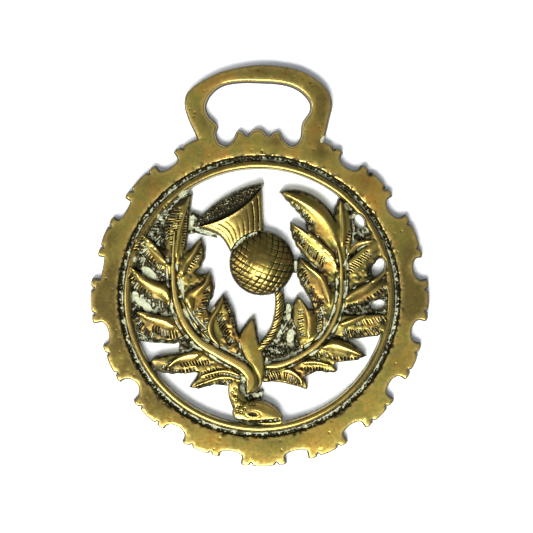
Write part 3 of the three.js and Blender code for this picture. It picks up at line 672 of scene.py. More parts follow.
# Long thin grooves with dried polish in them
PALE_LINES = [
    [(-21, 9), (-20.9, 4), (-20.4, -1), (-18.8, -6), (-15.6, -10.4), (-11, -13.2)],
    [(-17.9, 10), (-17.8, 4), (-17, -1), (-14.6, -5.6), (-11, -9.8), (-6, -12.6)],
    [(-15.9, -1), (-14.6, -4.4), (-11.8, -7.6)],
    [(-16.6, -6), (-13.4, -9.4), (-9.6, -11.7)],
    [(-8, -20), (-6.6, -19.2), (-5, -18.9), (-3.9, -19.6), (-3.7, -21.2), (-3.9, -22.8)],
    [(13, -1.4), (14.1, -4), (14.2, -7), (13, -9.2), (9, -11.6)],
    [(16.9, 6), (17, 1), (16, -4), (13.4, -8.6), (9, -12)],
    [(19.1, 12), (19.6, 6), (19.1, 0), (17.4, -6), (14.2, -10)],
    [(1.3, -13.4), (1.5, -16), (1.2, -18.4)],
    [(4.6, -12.9), (3, -12), (1.6, -11.4)],
]


def groove_line(points):
    reach = 0.22
    area, offset, share = beside(smooth_through(points, 24), 1)
    line = hump(offset, reach) * fading(share, 0.1, 0.1) * (inside[area] > 0.3)
    raise_to(carved, area, 0.5 * line)
    raise_to(pale, area, line * dried_polish(area))


# Ribs and stem: round bars along a path

LEFT_RIB = [
    (-2.8, -21.2), (-2.1, -19.6), (-2.3, -17.9), (-4.3, -15.6), (-9, -13), (-14, -9.8), (-17.5, -5),
    (-19.2, 1), (-19.5, 8), (-19.2, 14.5),
]
RIGHT_RIB = [
    (1.2, -15.7), (5, -15.1), (9, -13.3), (13, -10.5), (15.7, -7), (17.6, -2), (18.2, 5),
    (17.3, 11), (14, 16.8),
]
STEM = [(4.2, 1.4), (4.3, -2), (3.6, -6.3), (2.2, -9), (0.2, -11.4)]
NECK = [(-5.9, -19), (-5.8, -21.4), (-5.1, -23.2), (-3.9, -24.8), (-2.2, -26.2)]


def lay_bar(points, width, tip_width, top, twist=0.0, gutter=0.0, flat=0.0):
    """A bar with a round top, a groove on both sides of it and strokes twisted around it."""
    round_height = 0.9
    path = smooth_through(points, 48)
    area, offset, share = beside(path, 3)
    half = (width + (tip_width - width) * share ** 1.5) / 2 + 0.3
    half = half * unit(share / 0.05 + 0.25) ** 0.6
    depth = half - np.abs(offset)
    side = unit((np.abs(offset) / half - flat) / (1 - flat))
    if gutter:
        dip = hump(np.abs(offset) - half - 0.28, 0.3)
        dip = dip * unit(share / 0.05) * unit((0.8 - share) / 0.2)
        raise_to(carved, area, gutter * dip)
        raise_to(pale, area, dip * dried_polish(area))
    level = top - 0.5 * share - round_height + round_height * np.sqrt(1 - side ** 2)
    form = lay(area, level, depth, lean=0.3, shaded=0.1)
    wipe(area, (depth > 0) & (height[area] <= form + SAME_FORM))
    if twist:
        strokes = stroke_wave((share * path_length(path) + 1.1 * offset) / twist)
        carve(area, np.where(depth > 0.1, 0.4 * strokes, 0), form)


# Ground between the leaves

def ring_arc(start, end, steps):
    return [polar(RING_RADIUS + 0.5, turn) for turn in np.linspace(start, end, steps + 1)]


FLOOR_LEVELS = [1.6, 2.4, 2.3, 1.7, 2.4, 2.3, 1.6, 2.8, 2.1, 1.7, 1.6]
FLOORS = [
    ring_arc(123, 200, 10) + [
        (-24.5, -10.5), (-19.5, -10.8), (-15.5, -9.6), (-18, -3), (-19, 4), (-18.8, 12),
        (-18.4, 18), (-16, 22),
    ],
    [
        (-19.3, 12.5), (-19, 2), (-17.5, -5), (-14, -9.8), (-9, -13), (-4, -15.5), (-4, -9.4),
        (-10.8, -4), (-15, 3.6), (-16, 10.6),
    ],
    [(-18.4, -9.8), (-18.5, -16), (-13.2, -17.6), (-4, -18.8), (-4, -15), (-13, -9.6)],
    ring_arc(-17, 50, 10) + [
        (18.6, 20.4), (17.6, 14), (17.4, 8), (17.8, 2), (17, -3), (14.6, -8.4), (18.6, -9.7),
        (22, -9.6),
    ],
    [
        (17, 11), (18, 5), (17.6, -2), (15.7, -7), (11, -12), (3, -15), (0.6, -11.4),
        (7, -10.6), (8.2, -8), (12, -2.4), (13, 5), (13.6, 8), (10.4, 15.6), (14, 17),
    ],
    [(18.4, -9), (14, -8.4), (3, -14.4), (1, -18.8), (9.4, -18), (16.6, -15.5), (19, -12)],
    [(4.4, -1.2), (3.4, -8), (0.6, -11), (1, -12), (9, -11.6), (8.4, -5), (7, -1.3)],
    [(-5.4, -14), (-4.6, -9.4), (-0.4, -10.8), (4, -13), (3, -18.4), (-4, -19.8)],
    [
        (-4.8, -19.4), (-3.4, -19.6), (-2.4, -21.8), (0.4, -20.8), (0.8, -21.2), (0.6, -22.8),
        (-1, -23.6), (-3.8, -23.8), (-5, -22),
    ],
    [(-16.6, 13.8), (-14.6, 14.2), (-9.6, 13), (-11.6, 17.4), (-15, 19.2), (-17, 18.4)],
    [(6.6, 5.4), (8.8, 5), (9, 8.4), (7, 8.4)],
]

# Small piercings in the ground: middle, half length, half width and turn in degrees
PIERCINGS = [((22.3, 16.8), 1.6, 0.9, 115), ((26.5, 6.6), 1.9, 1.2, 60), ((26.4, -1.8), 1.6, 0.9, 15)]


def lay_floors():
    for level, outline in zip(FLOOR_LEVELS, FLOORS):
        area, depth = area_of(outline)
        lay(area, level + 1.1 * (LUMPS[area] - 0.5), depth, shaded=0.2)


def pierce_floors():
    angles = np.linspace(0, 2 * math.pi, 24, endpoint=False)
    for middle, length, width, turn in PIERCINGS:
        outline = turned(np.cos(angles) * length, np.sin(angles) * width, -turn)
        area, depth = area_of(np.column_stack(outline) + middle, 1.2)
        open_up(area, -depth, 0.5)


# Sunk pockets that are full of dried polish: middle, half length, half width and turn
POCKETS = [
    ((-25, 5.3), 2.1, 0.9, -40), ((-28.2, 0.1), 0.9, 1.1, 0), ((-25.4, -2.4), 1.3, 0.9, -50),
    ((-26.8, -1.2), 1.4, 0.8, -30), ((-11, -2.7), 0.9, 0.8, 0), ((-16.2, 11.3), 0.5, 1, -20),
    ((-22.6, 17.8), 1, 0.5, -50), ((-17.2, 23.2), 1.5, 0.5, 25), ((-28.2, 8.4), 0.6, 0.7, 0),
    ((21.1, 11.7), 1.1, 0.9, 60), ((19.4, 20.2), 1, 0.5, -60), ((20.6, 18), 0.8, 0.5, 30),
    ((-4.1, -21.4), 1.9, 0.6, 95), ((0.2, -21.8), 0.7, 0.5, 0), ((-5.4, -19.1), 1.7, 0.4, 15),
    ((-0.9, -22.1), 1, 0.5, 0),
    ((6.7, -8.8), 1.6, 0.8, 80), ((6.3, -3.4), 2, 0.6, 90), ((14, 35.2), 0.9, 0.5, 60),
    ((-15.4, 16.6), 1.8, 0.5, 80), ((-12.4, 14.5), 2.4, 0.4, -15), ((1.3, -14.9), 1.2, 0.35, 80),
    ((-17.7, 3), 3.2, 0.5, 95), ((18.9, 8.5), 3, 0.4, 100), ((5.2, -28), 0.9, 0.4, 100),
    ((0.6, 20.6), 4.4, 0.25, 92), ((-2.8, 13.2), 4.6, 0.35, 37), ((7.9, 7), 1.5, 0.35, 90),
]


def sink_pockets():
    for middle, length, width, turn in POCKETS:
        area = window([middle], length + 1)
        along, across = turned(grid_x[area] - middle[0], grid_y[area] - middle[1], turn)
        filled = unit((1.1 - np.hypot(along / length, across / width)) / 0.25)
        raise_to(pale, area, 1.2 * filled)


# Thistle: a netted bulb, a fluted cup, a crescent tuft and a stem

BULB_CENTRE = (0.3, 7.5)
BULB_RADIUS = 7.4
NET_PITCH = 1.45
NET_WAYS = [(67, 0.25), (-24, -0.35)]
NET_DEPTH = 0.38
NET_EDGE = 0.15
LINE_REACH = 0.15
WORN_MIDDLE = (-0.4, 1.6)
WORN_REACH = (3.6, 4.2)


def lay_bulb():
    area = window([BULB_CENTRE], BULB_RADIUS + 1)
    x = grid_x[area] - BULB_CENTRE[0]
    y = grid_y[area] - BULB_CENTRE[1]
    away = np.hypot(x, y)
    depth = BULB_RADIUS - away
    top = BULB_HEIGHT - (BULB_HEIGHT - BULB_EDGE + 0.4) * (away / BULB_RADIUS) ** 2
    form = lay(area, top, depth, lean=0.35, shaded=0.2)
    sphere_z = np.sqrt(np.clip(BULB_RADIUS ** 2 - away ** 2, 0, None))
    net = np.zeros(x.shape)
    for way, tip_up in NET_WAYS:
        reach = turned(x, y, way)[0] * math.cos(tip_up) + sphere_z * math.sin(tip_up)
        place = np.arcsin(np.clip(reach / BULB_RADIUS, -1, 1)) * BULB_RADIUS / NET_PITCH
        net = np.maximum(net, hump(from_whole(place), LINE_REACH))
    across = (x - WORN_MIDDLE[0]) / WORN_REACH[0]
    up = (y - WORN_MIDDLE[1]) / WORN_REACH[1]
    worn = np.exp(-(across ** 2 + up ** 2) ** 1.5)
    broken = unit(0.3 + 1.3 * mottle(1.1, 12)[area])
    cuts = NET_DEPTH * net * (1 - 0.92 * worn) * broken
    carve(area, np.where(depth > NET_EDGE, cuts, 0), form)


NECK_LINE = bent_path((-6.6, 9.6), (-5, 14), (0.9, 14.6))
LIP_LINE = bent_path((-14.6, 15.8), (-4.6, 17.8), (0.4, 25))
WAIST_WAY = np.array([0.62, 0.78])
WAIST_PINCH = 1.5
WAIST_SHARE = 0.45
FLUTES = 9
MARKS_UP = 24
NEAREST_MARKS = 6


def cup_marks(lines, share):
    """Places on the cup, each with its share of the way around and of the way up."""
    marks = []
    for i, part in enumerate(share):
        meridian = smooth_through([line[i] for line in lines], MARKS_UP)
        marks += [(x, y, part, k / MARKS_UP) for k, (x, y) in enumerate(meridian)]
    return np.array(marks)


def lay_cup():
    share = np.linspace(0, 1, len(NECK_LINE))
    waist = NECK_LINE + (LIP_LINE - NECK_LINE) * WAIST_SHARE
    waist = waist + WAIST_WAY * WAIST_PINCH * (1 - share[:, None])
    lines = [NECK_LINE, waist, LIP_LINE]
    side = smooth_through([line[0] for line in lines], 8)
    area, depth = area_of(np.vstack([NECK_LINE[::-1], side[1:-1], LIP_LINE]), 1)
    marks = cup_marks(lines, share)
    near = depth > -0.3
    x, y = grid_x[area][near], grid_y[area][near]
    spacing = (x[:, None] - marks[:, 0]) ** 2 + (y[:, None] - marks[:, 1]) ** 2
    closest = np.argpartition(spacing, NEAREST_MARKS, axis=1)[:, :NEAREST_MARKS]
    weight = 1 / (np.take_along_axis(spacing, closest, axis=1) + 0.01)
    weight /= weight.sum(axis=1, keepdims=True)
    around, up = np.zeros((2, *depth.shape))
    around[near] = (marks[closest, 2] * weight).sum(axis=1)
    up[near] = (marks[closest, 3] * weight).sum(axis=1)
    uneven = stroke_chance(np.round(around * FLUTES).astype(int))
    line = hump(from_whole(around * FLUTES), LINE_REACH) * (0.25 + 0.9 * uneven)
    plain = hump(around - 0.5, 0.22) * unit((up - 0.25) / 0.3)
    barrel = np.sqrt(unit(1 - (2 * around - 1) ** 2 * 0.85))
    top = CUP_HEIGHT - 2.0 * (1 - barrel) - 0.9 * (1 - up) + 0.35 * unit(up * 9 - 8)
    form = lay(area, top, depth, lean=0.35, shaded=0.1)
    cuts = (0.3 + 0.3 * (around > 0.7)) * line * (1 - 0.9 * plain) * unit((0.93 - up) / 0.1)
    carve(area, np.where(depth > 0.05, cuts, 0), form)


TUFT_PATH = bent_path((-14.8, 15.8), (-5.8, 19.2), (0.5, 25.2), 30)
TUFT_LEVEL = 3.5
TUFT_DEPTH = 0.45
DOTS = 330

# Half width of the tuft at its ends, and what its middle adds, left and right of its path
TUFT_SIDES = [(0.5, 2.6), (0.3, 1.3)]


def lay_tuft():
    area, offset, share = beside(TUFT_PATH, 4)
    swell = unit(np.sin(math.pi * share)) ** 0.7
    left, right = (end + middle * swell for end, middle in TUFT_SIDES)
    depth = np.where(offset > 0, left - offset, right + offset)
    form = lay(area, TUFT_LEVEL, depth, lean=0.6, shaded=0.5)
    raise_to(tuft_dark, area, unit(depth / 0.3) * (height[area] <= form + SAME_FORM))
    dots = np.zeros(depth.shape)
    chance = np.random.default_rng(5)
    last = len(TUFT_PATH) - 1
    for _ in range(DOTS):
        part = chance.random()
        k = min(int(part * last), last - 1)
        step = TUFT_PATH[k + 1] - TUFT_PATH[k]
        normal = np.array([-step[1], step[0]]) / np.hypot(*step)
        across = chance.uniform(-0.2, 3.0 * math.sin(math.pi * part) ** 0.7 + 0.2)
        place = TUFT_PATH[k] + step * (part * last - k) + normal * across
        dots = np.maximum(dots, spot(*place, chance.uniform(0.1, 0.2), area))
    punched = depth > 0.15
    carve(area, np.where(punched, TUFT_DEPTH * (1 - dots), 0), form)
    tuft_dots[area] = np.where(punched, dots, 0)


# Beast's head at the foot, on a short neck, biting the ring

CHEEK = np.array([
    (-7, -21.4), (-6.9, -23.5), (-6.3, -25.2), (-5.2, -26.6), (-3, -28.2), (1, -28), (1.6, -24.2),
    (0.4, -23.1), (-1, -22.8), (-3.3, -23.3), (-4.3, -22.6), (-4.8, -21.4),
])
SKULL_PATH = bent_path((-4.6, -26), (-0.4, -24.7), (5, -28.3))
SKULL_FORM = (1.8, 2.8, 0.45, 0.6, 0.1)
HEAD_BOX = [(-7.5, -29), (5.5, -19)]
EYE = (-1.7, -26.3)
EYE_SIZE = (1.35, 0.62)
EYE_TILT = 0.1
PUNCH_RADIUS = 0.27
PUNCH_DEPTH = 0.2
MOUTH = bent_path((-2.2, -27.9), (1, -28), (4, -27.6))
TEETH = 6
PUNCHES = [
    (-5.6, -20.6), (-5.8, -22.2), (-5.4, -23.2), (-4.2, -24.2), (-3.5, -25.2), (-4.3, -25.8),
    (-2.3, -24), (-1.5, -24), (-5, -24.6), (-6.3, -21.4), (-6.1, -23.6), (-5.2, -25.6),
]


def lay_head():
    area, depth = area_of(CHEEK)
    lay(area, HEAD_HEIGHT - 0.3, depth, lean=1.1, shaded=0)
    lay_bar(NECK, 2.1, 5, HEAD_HEIGHT - 0.4, flat=0.2)
    lay_lobe(SKULL_PATH, *SKULL_FORM, ridge=HEAD_HEIGHT, edge=LEAF_EDGE + 0.3)
    area = window(HEAD_BOX, 0)
    x, y = grid_x[area], grid_y[area]
    across, up = x - EYE[0], y - EYE[1]
    eye = np.hypot(across / EYE_SIZE[0], (up + EYE_TILT * across) / EYE_SIZE[1])
    cuts = 0.34 * hump(eye, 0.75, 4) + 0.1 * hump(eye - 1.35, 0.2)
    cuts *= 0.55 + 0.6 * LUMPS[area]
    for punch_x, punch_y in PUNCHES:
        ring = np.hypot(x - punch_x, y - punch_y)
        cuts = np.maximum(cuts, PUNCH_DEPTH * hump(ring - PUNCH_RADIUS, 0.12))
    offset, share = along_path(MOUTH, x, y)
    teeth = 0.5 + 0.5 * np.sin(share * 2 * math.pi * TEETH)
    cuts = np.maximum(cuts, (0.35 + 0.35 * teeth) * hump(offset, 0.3))
    raise_to(carved, area, cuts)


lay_rim()
lay_hanger()
lay_floors()
pierce_floors()
for base, bend, tip, *form in LOBES:
    lay_lobe(bent_path(base, bend, tip), *form)
lay_sheets()
for number, row in enumerate(CUT_ROWS):
    cut_row(number, *row)
for line in PALE_LINES:
    groove_line(line)
for tongue in TONGUES:
    lay_tongue(*tongue)
lay_lobe(MIDDLE_PATH, *MIDDLE_FORM, ridge=LEAF_RIDGE)
lay_bar(LEFT_RIB, 2.1, 0.2, RIB_HEIGHT, gutter=0.3, flat=0.3)
lay_bar(RIGHT_RIB, 1.2, 0.2, RIB_HEIGHT, gutter=0.3, flat=0.2)
lay_bar(STEM, 1.7, 1.5, RIB_HEIGHT, twist=0.75)
lay_tuft()
lay_bulb()
lay_cup()
lay_head()
sink_pockets()

# Knocks and casting pits: place, reach and depth of the ones that stand out, and how many
# small ones the rim and the hanger have
KNOCKS = [
    (-14.7, 41.2, 0.2, 0.35), (-15, 40.3, 0.18, 0.3), (-2.6, 49.2, 0.25, 0.08), (-2, 49.5, 0.2, 0.08),
    (5.2, 48.4, 0.25, 0.08), (5.8, 48.5, 0.2, 0.08), (11.2, 48, 0.2, 0.32), (11.6, 47.2, 0.18, 0.3),
    (0.3, 32.6, 0.25, 0.35), (2.5, 34.6, 0.2, 0.08), (24.7, 27.6, 0.5, 1.2), (28, 24.3, 0.5, 1),
    (34.4, 8.2, 0.3, 0.1), (33.6, -3, 0.3, 0.1), (-32, 8, 0.25, 0.1), (14.2, 35.2, 0.6, 1),
    (31.6, 14.6, 0.2, 0.3), (-34.6, 4, 0.2, 0.3),
]
RIM_PITS = 170
HANGER_PITS = 50
PIT_SHARE = 0.4
PIT_DARKNESS = 3


def knock(x, y, reach, depth):
    area = window([(x, y)], 3 * reach)
    spread = spot(x, y, reach, area)
    raise_to(carved, area, PIT_SHARE * depth * spread)
    raise_to(specks, area, min(PIT_DARKNESS * depth, 1) * spread)


def pit_surface():
    chance = np.random.default_rng(29)
    for values in KNOCKS:
        knock(*values)
    for _ in range(RIM_PITS):
        turn = chance.uniform(0, 2 * math.pi)
        away = chance.uniform(RING_RADIUS + 2.6, FACE_RADIUS)
        x, y = away * math.cos(turn), away * math.sin(turn)
        knock(x, y, chance.uniform(0.1, 0.2), chance.choice([0.02, 0.05, 0.25]))
    for _ in range(HANGER_PITS):
        x, y = chance.uniform(-17, 16), chance.uniform(36, 52)
        knock(x, y, chance.uniform(0.1, 0.16), chance.choice([0.03, 0.06, 0.3]))


pit_surface()

# Cuts are worn soft, and the whole face has the small unevenness of a sand casting

FORM_SOFTNESS = 0.09
CUT_SOFTNESS = 0.06
THINNEST = 0.15
TOP_GAP = 0.02

height = smoothed(height, FORM_SOFTNESS)
height = height - smoothed(carved, CUT_SOFTNESS) * (1 - 0.25 * mottle(2.2, 8))
height += 0.05 * (mottle(3.5, 21) - 0.5) + 0.02 * (mottle(0.9, 22) - 0.5)
height = np.clip(height, THINNEST, cad_high.z / MM - TOP_GAP)

# Parts of the rim and hanger that are browner than the rest: middle, reach and strength
TARNISHED = [
    (-1, -25.5, 4, 0.5), (35, 2, 9, 1.3), (-34, -4, 10, 1.7), (-28, -22, 12, 1),
    (0, -36, 14, 0.2), (-24, 26, 9, 0.25), (33, 13, 6, 0.5), (-35, 2, 9, 0.75),
    (-34, 13, 5, 0.6), (-26, 23, 6, 0.45),
    (-24, 20, 3, 0.5), (-31, -17, 5, 0.45), (14, 44, 6, 0.6), (2, 50, 8, 0.6), (30, -14, 4, 0.3),
    (22, 28, 4, 0.35), (14, 33, 3, 0.6), (3.5, 35, 2, 0.6), (-12, 40, 2.5, 0.5), (-16, -33, 4, 0.25),
]

# Where dirt gathers and shade is painted: below the level of what is around, at two sizes
NARROW_REACH = 0.45
BROAD_REACH = 1.3
OPEN_LEVEL = 1.5
narrow = smoothed(height, NARROW_REACH) - height
broad = smoothed(np.where(inside > 0, height, OPEN_LEVEL), BROAD_REACH) - height


# The mesh

def enclosed_fills(fills, edges):
    """The triangles that lie on the left of the given edges, and those that join on to them."""
    fills = [fill for fill in fills if min(fill) >= 0]
    owner = {}
    for number, (a, b, c) in enumerate(fills):
        owner.update({(a, b): number, (b, c): number, (c, a): number})
    waiting = [owner[edge] for edge in edges if edge in owner]
    found = set(waiting)
    while waiting:
        a, b, c = fills[waiting.pop()]
        for start, end in ((a, b), (b, c), (c, a)):
            other = owner.get((end, start))
            if (start, end) not in edges and other is not None and other not in found:
                found.add(other)
                waiting.append(other)
    return [fills[number] for number in sorted(found)]


def solid_mesh():
    """The face follows the grid, its edge is drawn onto the outline at the back plane, and the
    back is filled flat."""
    slope_y, slope_x = np.gradient(inside, STEP)
    corner = inside > -0.45 * STEP
    kept = corner[:-1, :-1] & corner[1:, :-1] & corner[:-1, 1:] & corner[1:, 1:]
    rising = kept[:-1, :-1] & kept[1:, 1:] & ~kept[1:, :-1] & ~kept[:-1, 1:]
    falling = ~kept[:-1, :-1] & ~kept[1:, 1:] & kept[1:, :-1] & kept[:-1, 1:]
    kept[:-1, 1:] |= rising
    kept[:-1, :-1] |= falling
    touching = np.zeros(inside.shape, int)
    for up in (0, 1):
        for across in (0, 1):
            part = (slice(up, up + kept.shape[0]), slice(across, across + kept.shape[1]))
            touching[part] += kept
    used = touching > 0
    edge = used & (touching < 4)
    steep = np.maximum(slope_x ** 2 + slope_y ** 2, 0.2)
    shift = np.clip(-inside / steep, -1.2 * STEP, 1.2 * STEP)
    x = np.where(edge, grid_x + shift * slope_x, grid_x)
    y = np.where(edge, grid_y + shift * slope_y, grid_y)
    z = np.where(edge, 0, height)
    number = np.full(inside.shape, -1)
    number[used] = np.arange(used.sum())
    vertices = np.column_stack([x[used], y[used], z[used]])
    a = number[:-1, :-1][kept]
    b = number[:-1, 1:][kept]
    c = number[1:, 1:][kept]
    d = number[1:, :-1][kept]
    faces = np.column_stack([a, b, c, d])
    sides = np.vstack([np.column_stack(pair) for pair in ((a, b), (b, c), (c, d), (d, a))])
    codes = np.sort(sides, axis=1)
    keys = codes[:, 0] * len(vertices) + codes[:, 1]
    _, first, counts = np.unique(keys, return_index=True, return_counts=True)
    rim_edges = sides[first[counts == 1]]
    ids, places = np.unique(rim_edges, return_inverse=True)
    flat = [tuple(p) for p in vertices[ids][:, :2].tolist()]
    edges = [tuple(e) for e in places.reshape(-1, 2).tolist()]
    _, _, fills, origins, _, _ = delaunay_2d_cdt(flat, edges, [], 0, 1e-7)
    fills = [[origins[k][0] if origins[k] else -1 for k in fill] for fill in fills]
    back = [[int(ids[k]) for k in fill][::-1] for fill in enclosed_fills(fills, set(edges))]
    return vertices, faces.tolist() + back


def sampled(values, x, y):
    """Grid values at any places, in proportion between the nearest four."""
    u = np.clip((x - columns[0]) / STEP, 0, len(columns) - 1.001)
    v = np.clip((y - rows[0]) / STEP, 0, len(rows) - 1.001)
    i, j = u.astype(int), v.astype(int)
    fu, fv = u - i, v - j
    low = values[j, i] * (1 - fu) + values[j, i + 1] * fu
    high = values[j + 1, i] * (1 - fu) + values[j + 1, i + 1] * fu
    return low * (1 - fv) + high * fv


FACE_LIMIT = 185000
SHARP_ANGLE = 70


def placed(name, data):
    """A new object in the scene."""
    made = bpy.data.objects.new(name, data)
    bpy.context.scene.collection.objects.link(made)
    return made


vertices, faces = solid_mesh()
vertices[:, 0] += DISC_X
vertices[:, 1] += DISC_Y
mesh = bpy.data.meshes.new("horse_brass_casting")
mesh.from_pydata((vertices * MM).tolist(), [], faces)
mesh.validate()
casting = placed("horse_brass_casting", mesh)
triangles = sum(len(face) - 2 for face in faces)
thinning = casting.modifiers.new("thin", "DECIMATE")
thinning.ratio = min(FACE_LIMIT / triangles, 1)
evaluated = casting.evaluated_get(bpy.context.evaluated_depsgraph_get())
mesh = bpy.data.meshes.new_from_object(evaluated)
casting.modifiers.clear()
casting.data = mesh
mesh.name = "horse_brass_casting"
mesh.shade_smooth()
mesh.set_sharp_from_angle(angle=math.radians(SHARP_ANGLE))

spots = np.zeros(len(mesh.vertices) * 3)
mesh.vertices.foreach_get("co", spots)
spots = spots.reshape(-1, 3) / MM
spots_x = spots[:, 0] - DISC_X
spots_y = spots[:, 1] - DISC_Y

# Zones of the face
in_opening = ring_distance < RING_RADIUS
groove_middle = GROOVE_START + GROOVE_WIDTH * 0.5
in_groove = hump(ring_distance - groove_middle, GROOVE_WIDTH * 0.42, 4)
in_centre = smoothed((ring_distance < GROOVE_START + GROOVE_WIDTH).astype(float), 0.2)
bead_foot = hump(ring_distance - RING_RADIUS - BEAD_WIDTH - 0.2, 0.22)
on_bead = unit(1.2 - np.abs(ring_distance - BEAD_MIDDLE))
from_bulb = np.hypot(grid_x - BULB_CENTRE[0], grid_y - BULB_CENTRE[1]) / BULB_RADIUS
on_bulb = from_bulb < 1
on_cup = (grid_x > -15) & (grid_x < 1.2) & (grid_y > 9) & (grid_y < 26) & (from_bulb > 1)

# Dark dirt mixed with painted shade, in hollows, cuts, specks and on the ground; painted shade alone
# along the edges and round the edge of the bulb
EDGE_REACH = 0.35
HOLLOW_DEPTH = 0.22
BROAD_DEPTH = 1.1
LEAF_GROUND = 3.4
dark = unit(narrow / HOLLOW_DEPTH) + 0.5 * unit(broad / BROAD_DEPTH - 0.1)
dark = dark * (1 - 0.45 * in_groove) + 0.25 * in_groove * mottle(0.4, 64)
from_groove = np.abs(ring_distance - groove_middle - 0.5)
ragged_dark = unit(2.9 * mottle(0.27, 63) - 0.75 - 1.2 * from_groove)
dark = unit(dark + 0.6 * ragged_dark + 0.75 * tuft_dark)
# Painted shade: darker along the walls at the outer edge and at the leaves' edges
outer_edge = unit(1.25 - inside / EDGE_REACH) * (ring_distance > RING_RADIUS + 4)
leaf_edge = unit(1.3 - inside / EDGE_REACH) * in_opening
cuts = unit(smoothed(carved, CUT_SOFTNESS) / HOLLOW_DEPTH - 0.25) * (inside > 0.2)
ground = unit((LEAF_GROUND - height) / 0.6) * in_opening * (inside > 0)
dark = np.maximum.reduce([
    dark,
    0.8 * outer_edge,
    0.92 * leaf_edge,
    0.5 * specks,
    0.8 * cuts,
    0.75 * ground * (0.3 + 1.3 * mottle(0.6, 81)),
    # Painted shade: darker towards the edge of the bulb
    0.32 * unit(from_bulb * 3 - 1.9) * on_bulb,
])
dark = dark * (1 - 0.7 * tuft_dots) * (1 - 0.75 * smoothed(unit(pale), 0.1))

# Pale dried polish, in pockets, the groove, the tuft's dots and crevices
crevice = unit(narrow / 0.12 - 0.5) * unit(4 * mottle(1, 71) - 1.8)
settled = np.maximum.reduce([
    pale * unit((3.5 - height) / 0.6) * (0.4 + mottle(0.45, 83)),
    bead_foot * (0.5 + 0.35 * mottle(1.6, 31)),
    in_groove * (1.05 * mottle(0.3, 84) - 0.14),
    0.6 * tuft_dots * (height < 4),
    0.9 * crevice * (height < LEAF_GROUND) * in_opening * (tuft_dark < 0.5),
])

# Brown tarnish in patches, and tarnish mixed with painted shade on the bead but for its middle at the
# foot, and on the thistle
tarnish_and_shade = np.maximum.reduce([
    *[1.35 * strength * spot(x, y, reach) for x, y, reach, strength in TARNISHED],
    0.95 * on_bead * (1 - spot(0.7, -29.4, 4)),
    0.6 * on_bulb,
    on_cup * (1.2 - 0.5 * spot(-5, 17, 3)),
])
tarnish_and_shade = tarnish_and_shade * (0.35 + 1.2 * mottle(2.5, 41)) * (0.7 + 0.6 * mottle(0.8, 42))

edge_band = unit(1 - inside / 1.2)
MAPS = {
    "hollow": dark,
    "proud": unit(-narrow / 0.25) * (1 - 0.8 * edge_band) * (1 - 0.75 * on_bead),
    "low": unit(1.1 - height / 3.3) * in_centre * (1 - 0.85 * in_groove),
    "settled": settled,
    "tarnish_and_shade": unit(tarnish_and_shade),
    "wall": unit(1 - inside / 0.3) * (ring_distance < RING_RADIUS + 0.5),
}
for name, values in MAPS.items():
    attribute = mesh.attributes.new(name, "FLOAT", "POINT")
    attribute.data.foreach_set("value", sampled(values, spots_x, spots_y).astype(np.float32))


# Finish: old brass, dark with dirt and painted shade where it is hollow, with pale dried polish left in
# the low places

brass = bpy.data.materials.new("aged_brass")
brass.use_nodes = True
tree = brass.node_tree
shader = tree.nodes["Principled BSDF"]

# A mix of colours takes its share and its two colours at these inputs
MIX_SOCKETS = (0, 6, 7)
MIX_RESULT = 2
BRASS_TONES = [
    (0.36, (0.33, 0.183, 0.033)), (0.45, (0.33, 0.225, 0.045)), (0.55, (0.23, 0.205, 0.044)),
    (0.66, (0.36, 0.205, 0.043)),
]
DULL_BRASS = (0.18, 0.15, 0.038)
TARNISH_AND_PAINTED_SHADE = (0.13, 0.095, 0.026)
POLISHED_BRASS = (0.52, 0.38, 0.115)
DIRT_AND_PAINTED_SHADE = (0.02, 0.019, 0.012)
DRIED_POLISH = (0.42, 0.44, 0.29)


def node(kind, inputs, **settings):
    """A node with its inputs set or linked, by name or by number."""
    made = tree.nodes.new(kind)
    for name, value in settings.items():
        setattr(made, name, value)
    for place, value in inputs.items():
        socket = made.inputs[place]
        if isinstance(value, bpy.types.NodeSocket):
            tree.links.new(value, socket)
        else:
            socket.default_value = (*value, 1) if isinstance(value, tuple) else value
    return made


def noise(scale, detail, roughness):
    inputs = {"Vector": place, "Scale": scale, "Detail": detail, "Roughness": roughness}
    return node("ShaderNodeTexNoise", inputs).outputs["Fac"]


def ramp(value, stops):
    made = node("ShaderNodeValToRGB", {"Fac": value})
    elements = made.color_ramp.elements
    while len(elements) < len(stops):
        elements.new(0.5)
    for element, (position, colour) in zip(elements, stops):
        element.position = position
        element.color = (*colour, 1) if isinstance(colour, tuple) else (colour, colour, colour, 1)
    return made.outputs["Color"]


def mix(*values):
    """A colour between a first and a second one, by a share."""
    inputs = dict(zip(MIX_SOCKETS, values))
    return node("ShaderNodeMix", inputs, data_type="RGBA").outputs[MIX_RESULT]


def math_node(operation, first, second, clamp=False):
    inputs = {0: first, 1: second}
    return node("ShaderNodeMath", inputs, operation=operation, use_clamp=clamp).outputs[0]


def mapped(name):
    return node("ShaderNodeAttribute", {}, attribute_name=name).outputs["Fac"]


place = node("ShaderNodeTexCoord", {}).outputs["Object"]
patches = noise(260, 6, 0.65)
grain = noise(1500, 4, 0.6)

dirt_and_shade = math_node("MULTIPLY", mapped("hollow"), 1.25, True)
tone = ramp(noise(110, 5, 0.6), BRASS_TONES)
tone = mix(ramp(patches, [(0.5, 0), (0.72, 0.55)]), tone, DULL_BRASS)
# Tarnish mixed with painted shade: browner patches, and a darker bead, bulb and cup in place of darker
# reflections
tone = mix(mapped("tarnish_and_shade"), tone, TARNISH_AND_PAINTED_SHADE)
tone = mix(mapped("proud"), tone, POLISHED_BRASS)
# Dirt mixed with painted shade: darker in hollows, cuts, specks and on the ground, and painted shade
# along the edges
tone = mix(ramp(dirt_and_shade, [(0.05, 0), (0.5, 0.95)]), tone, DIRT_AND_PAINTED_SHADE)

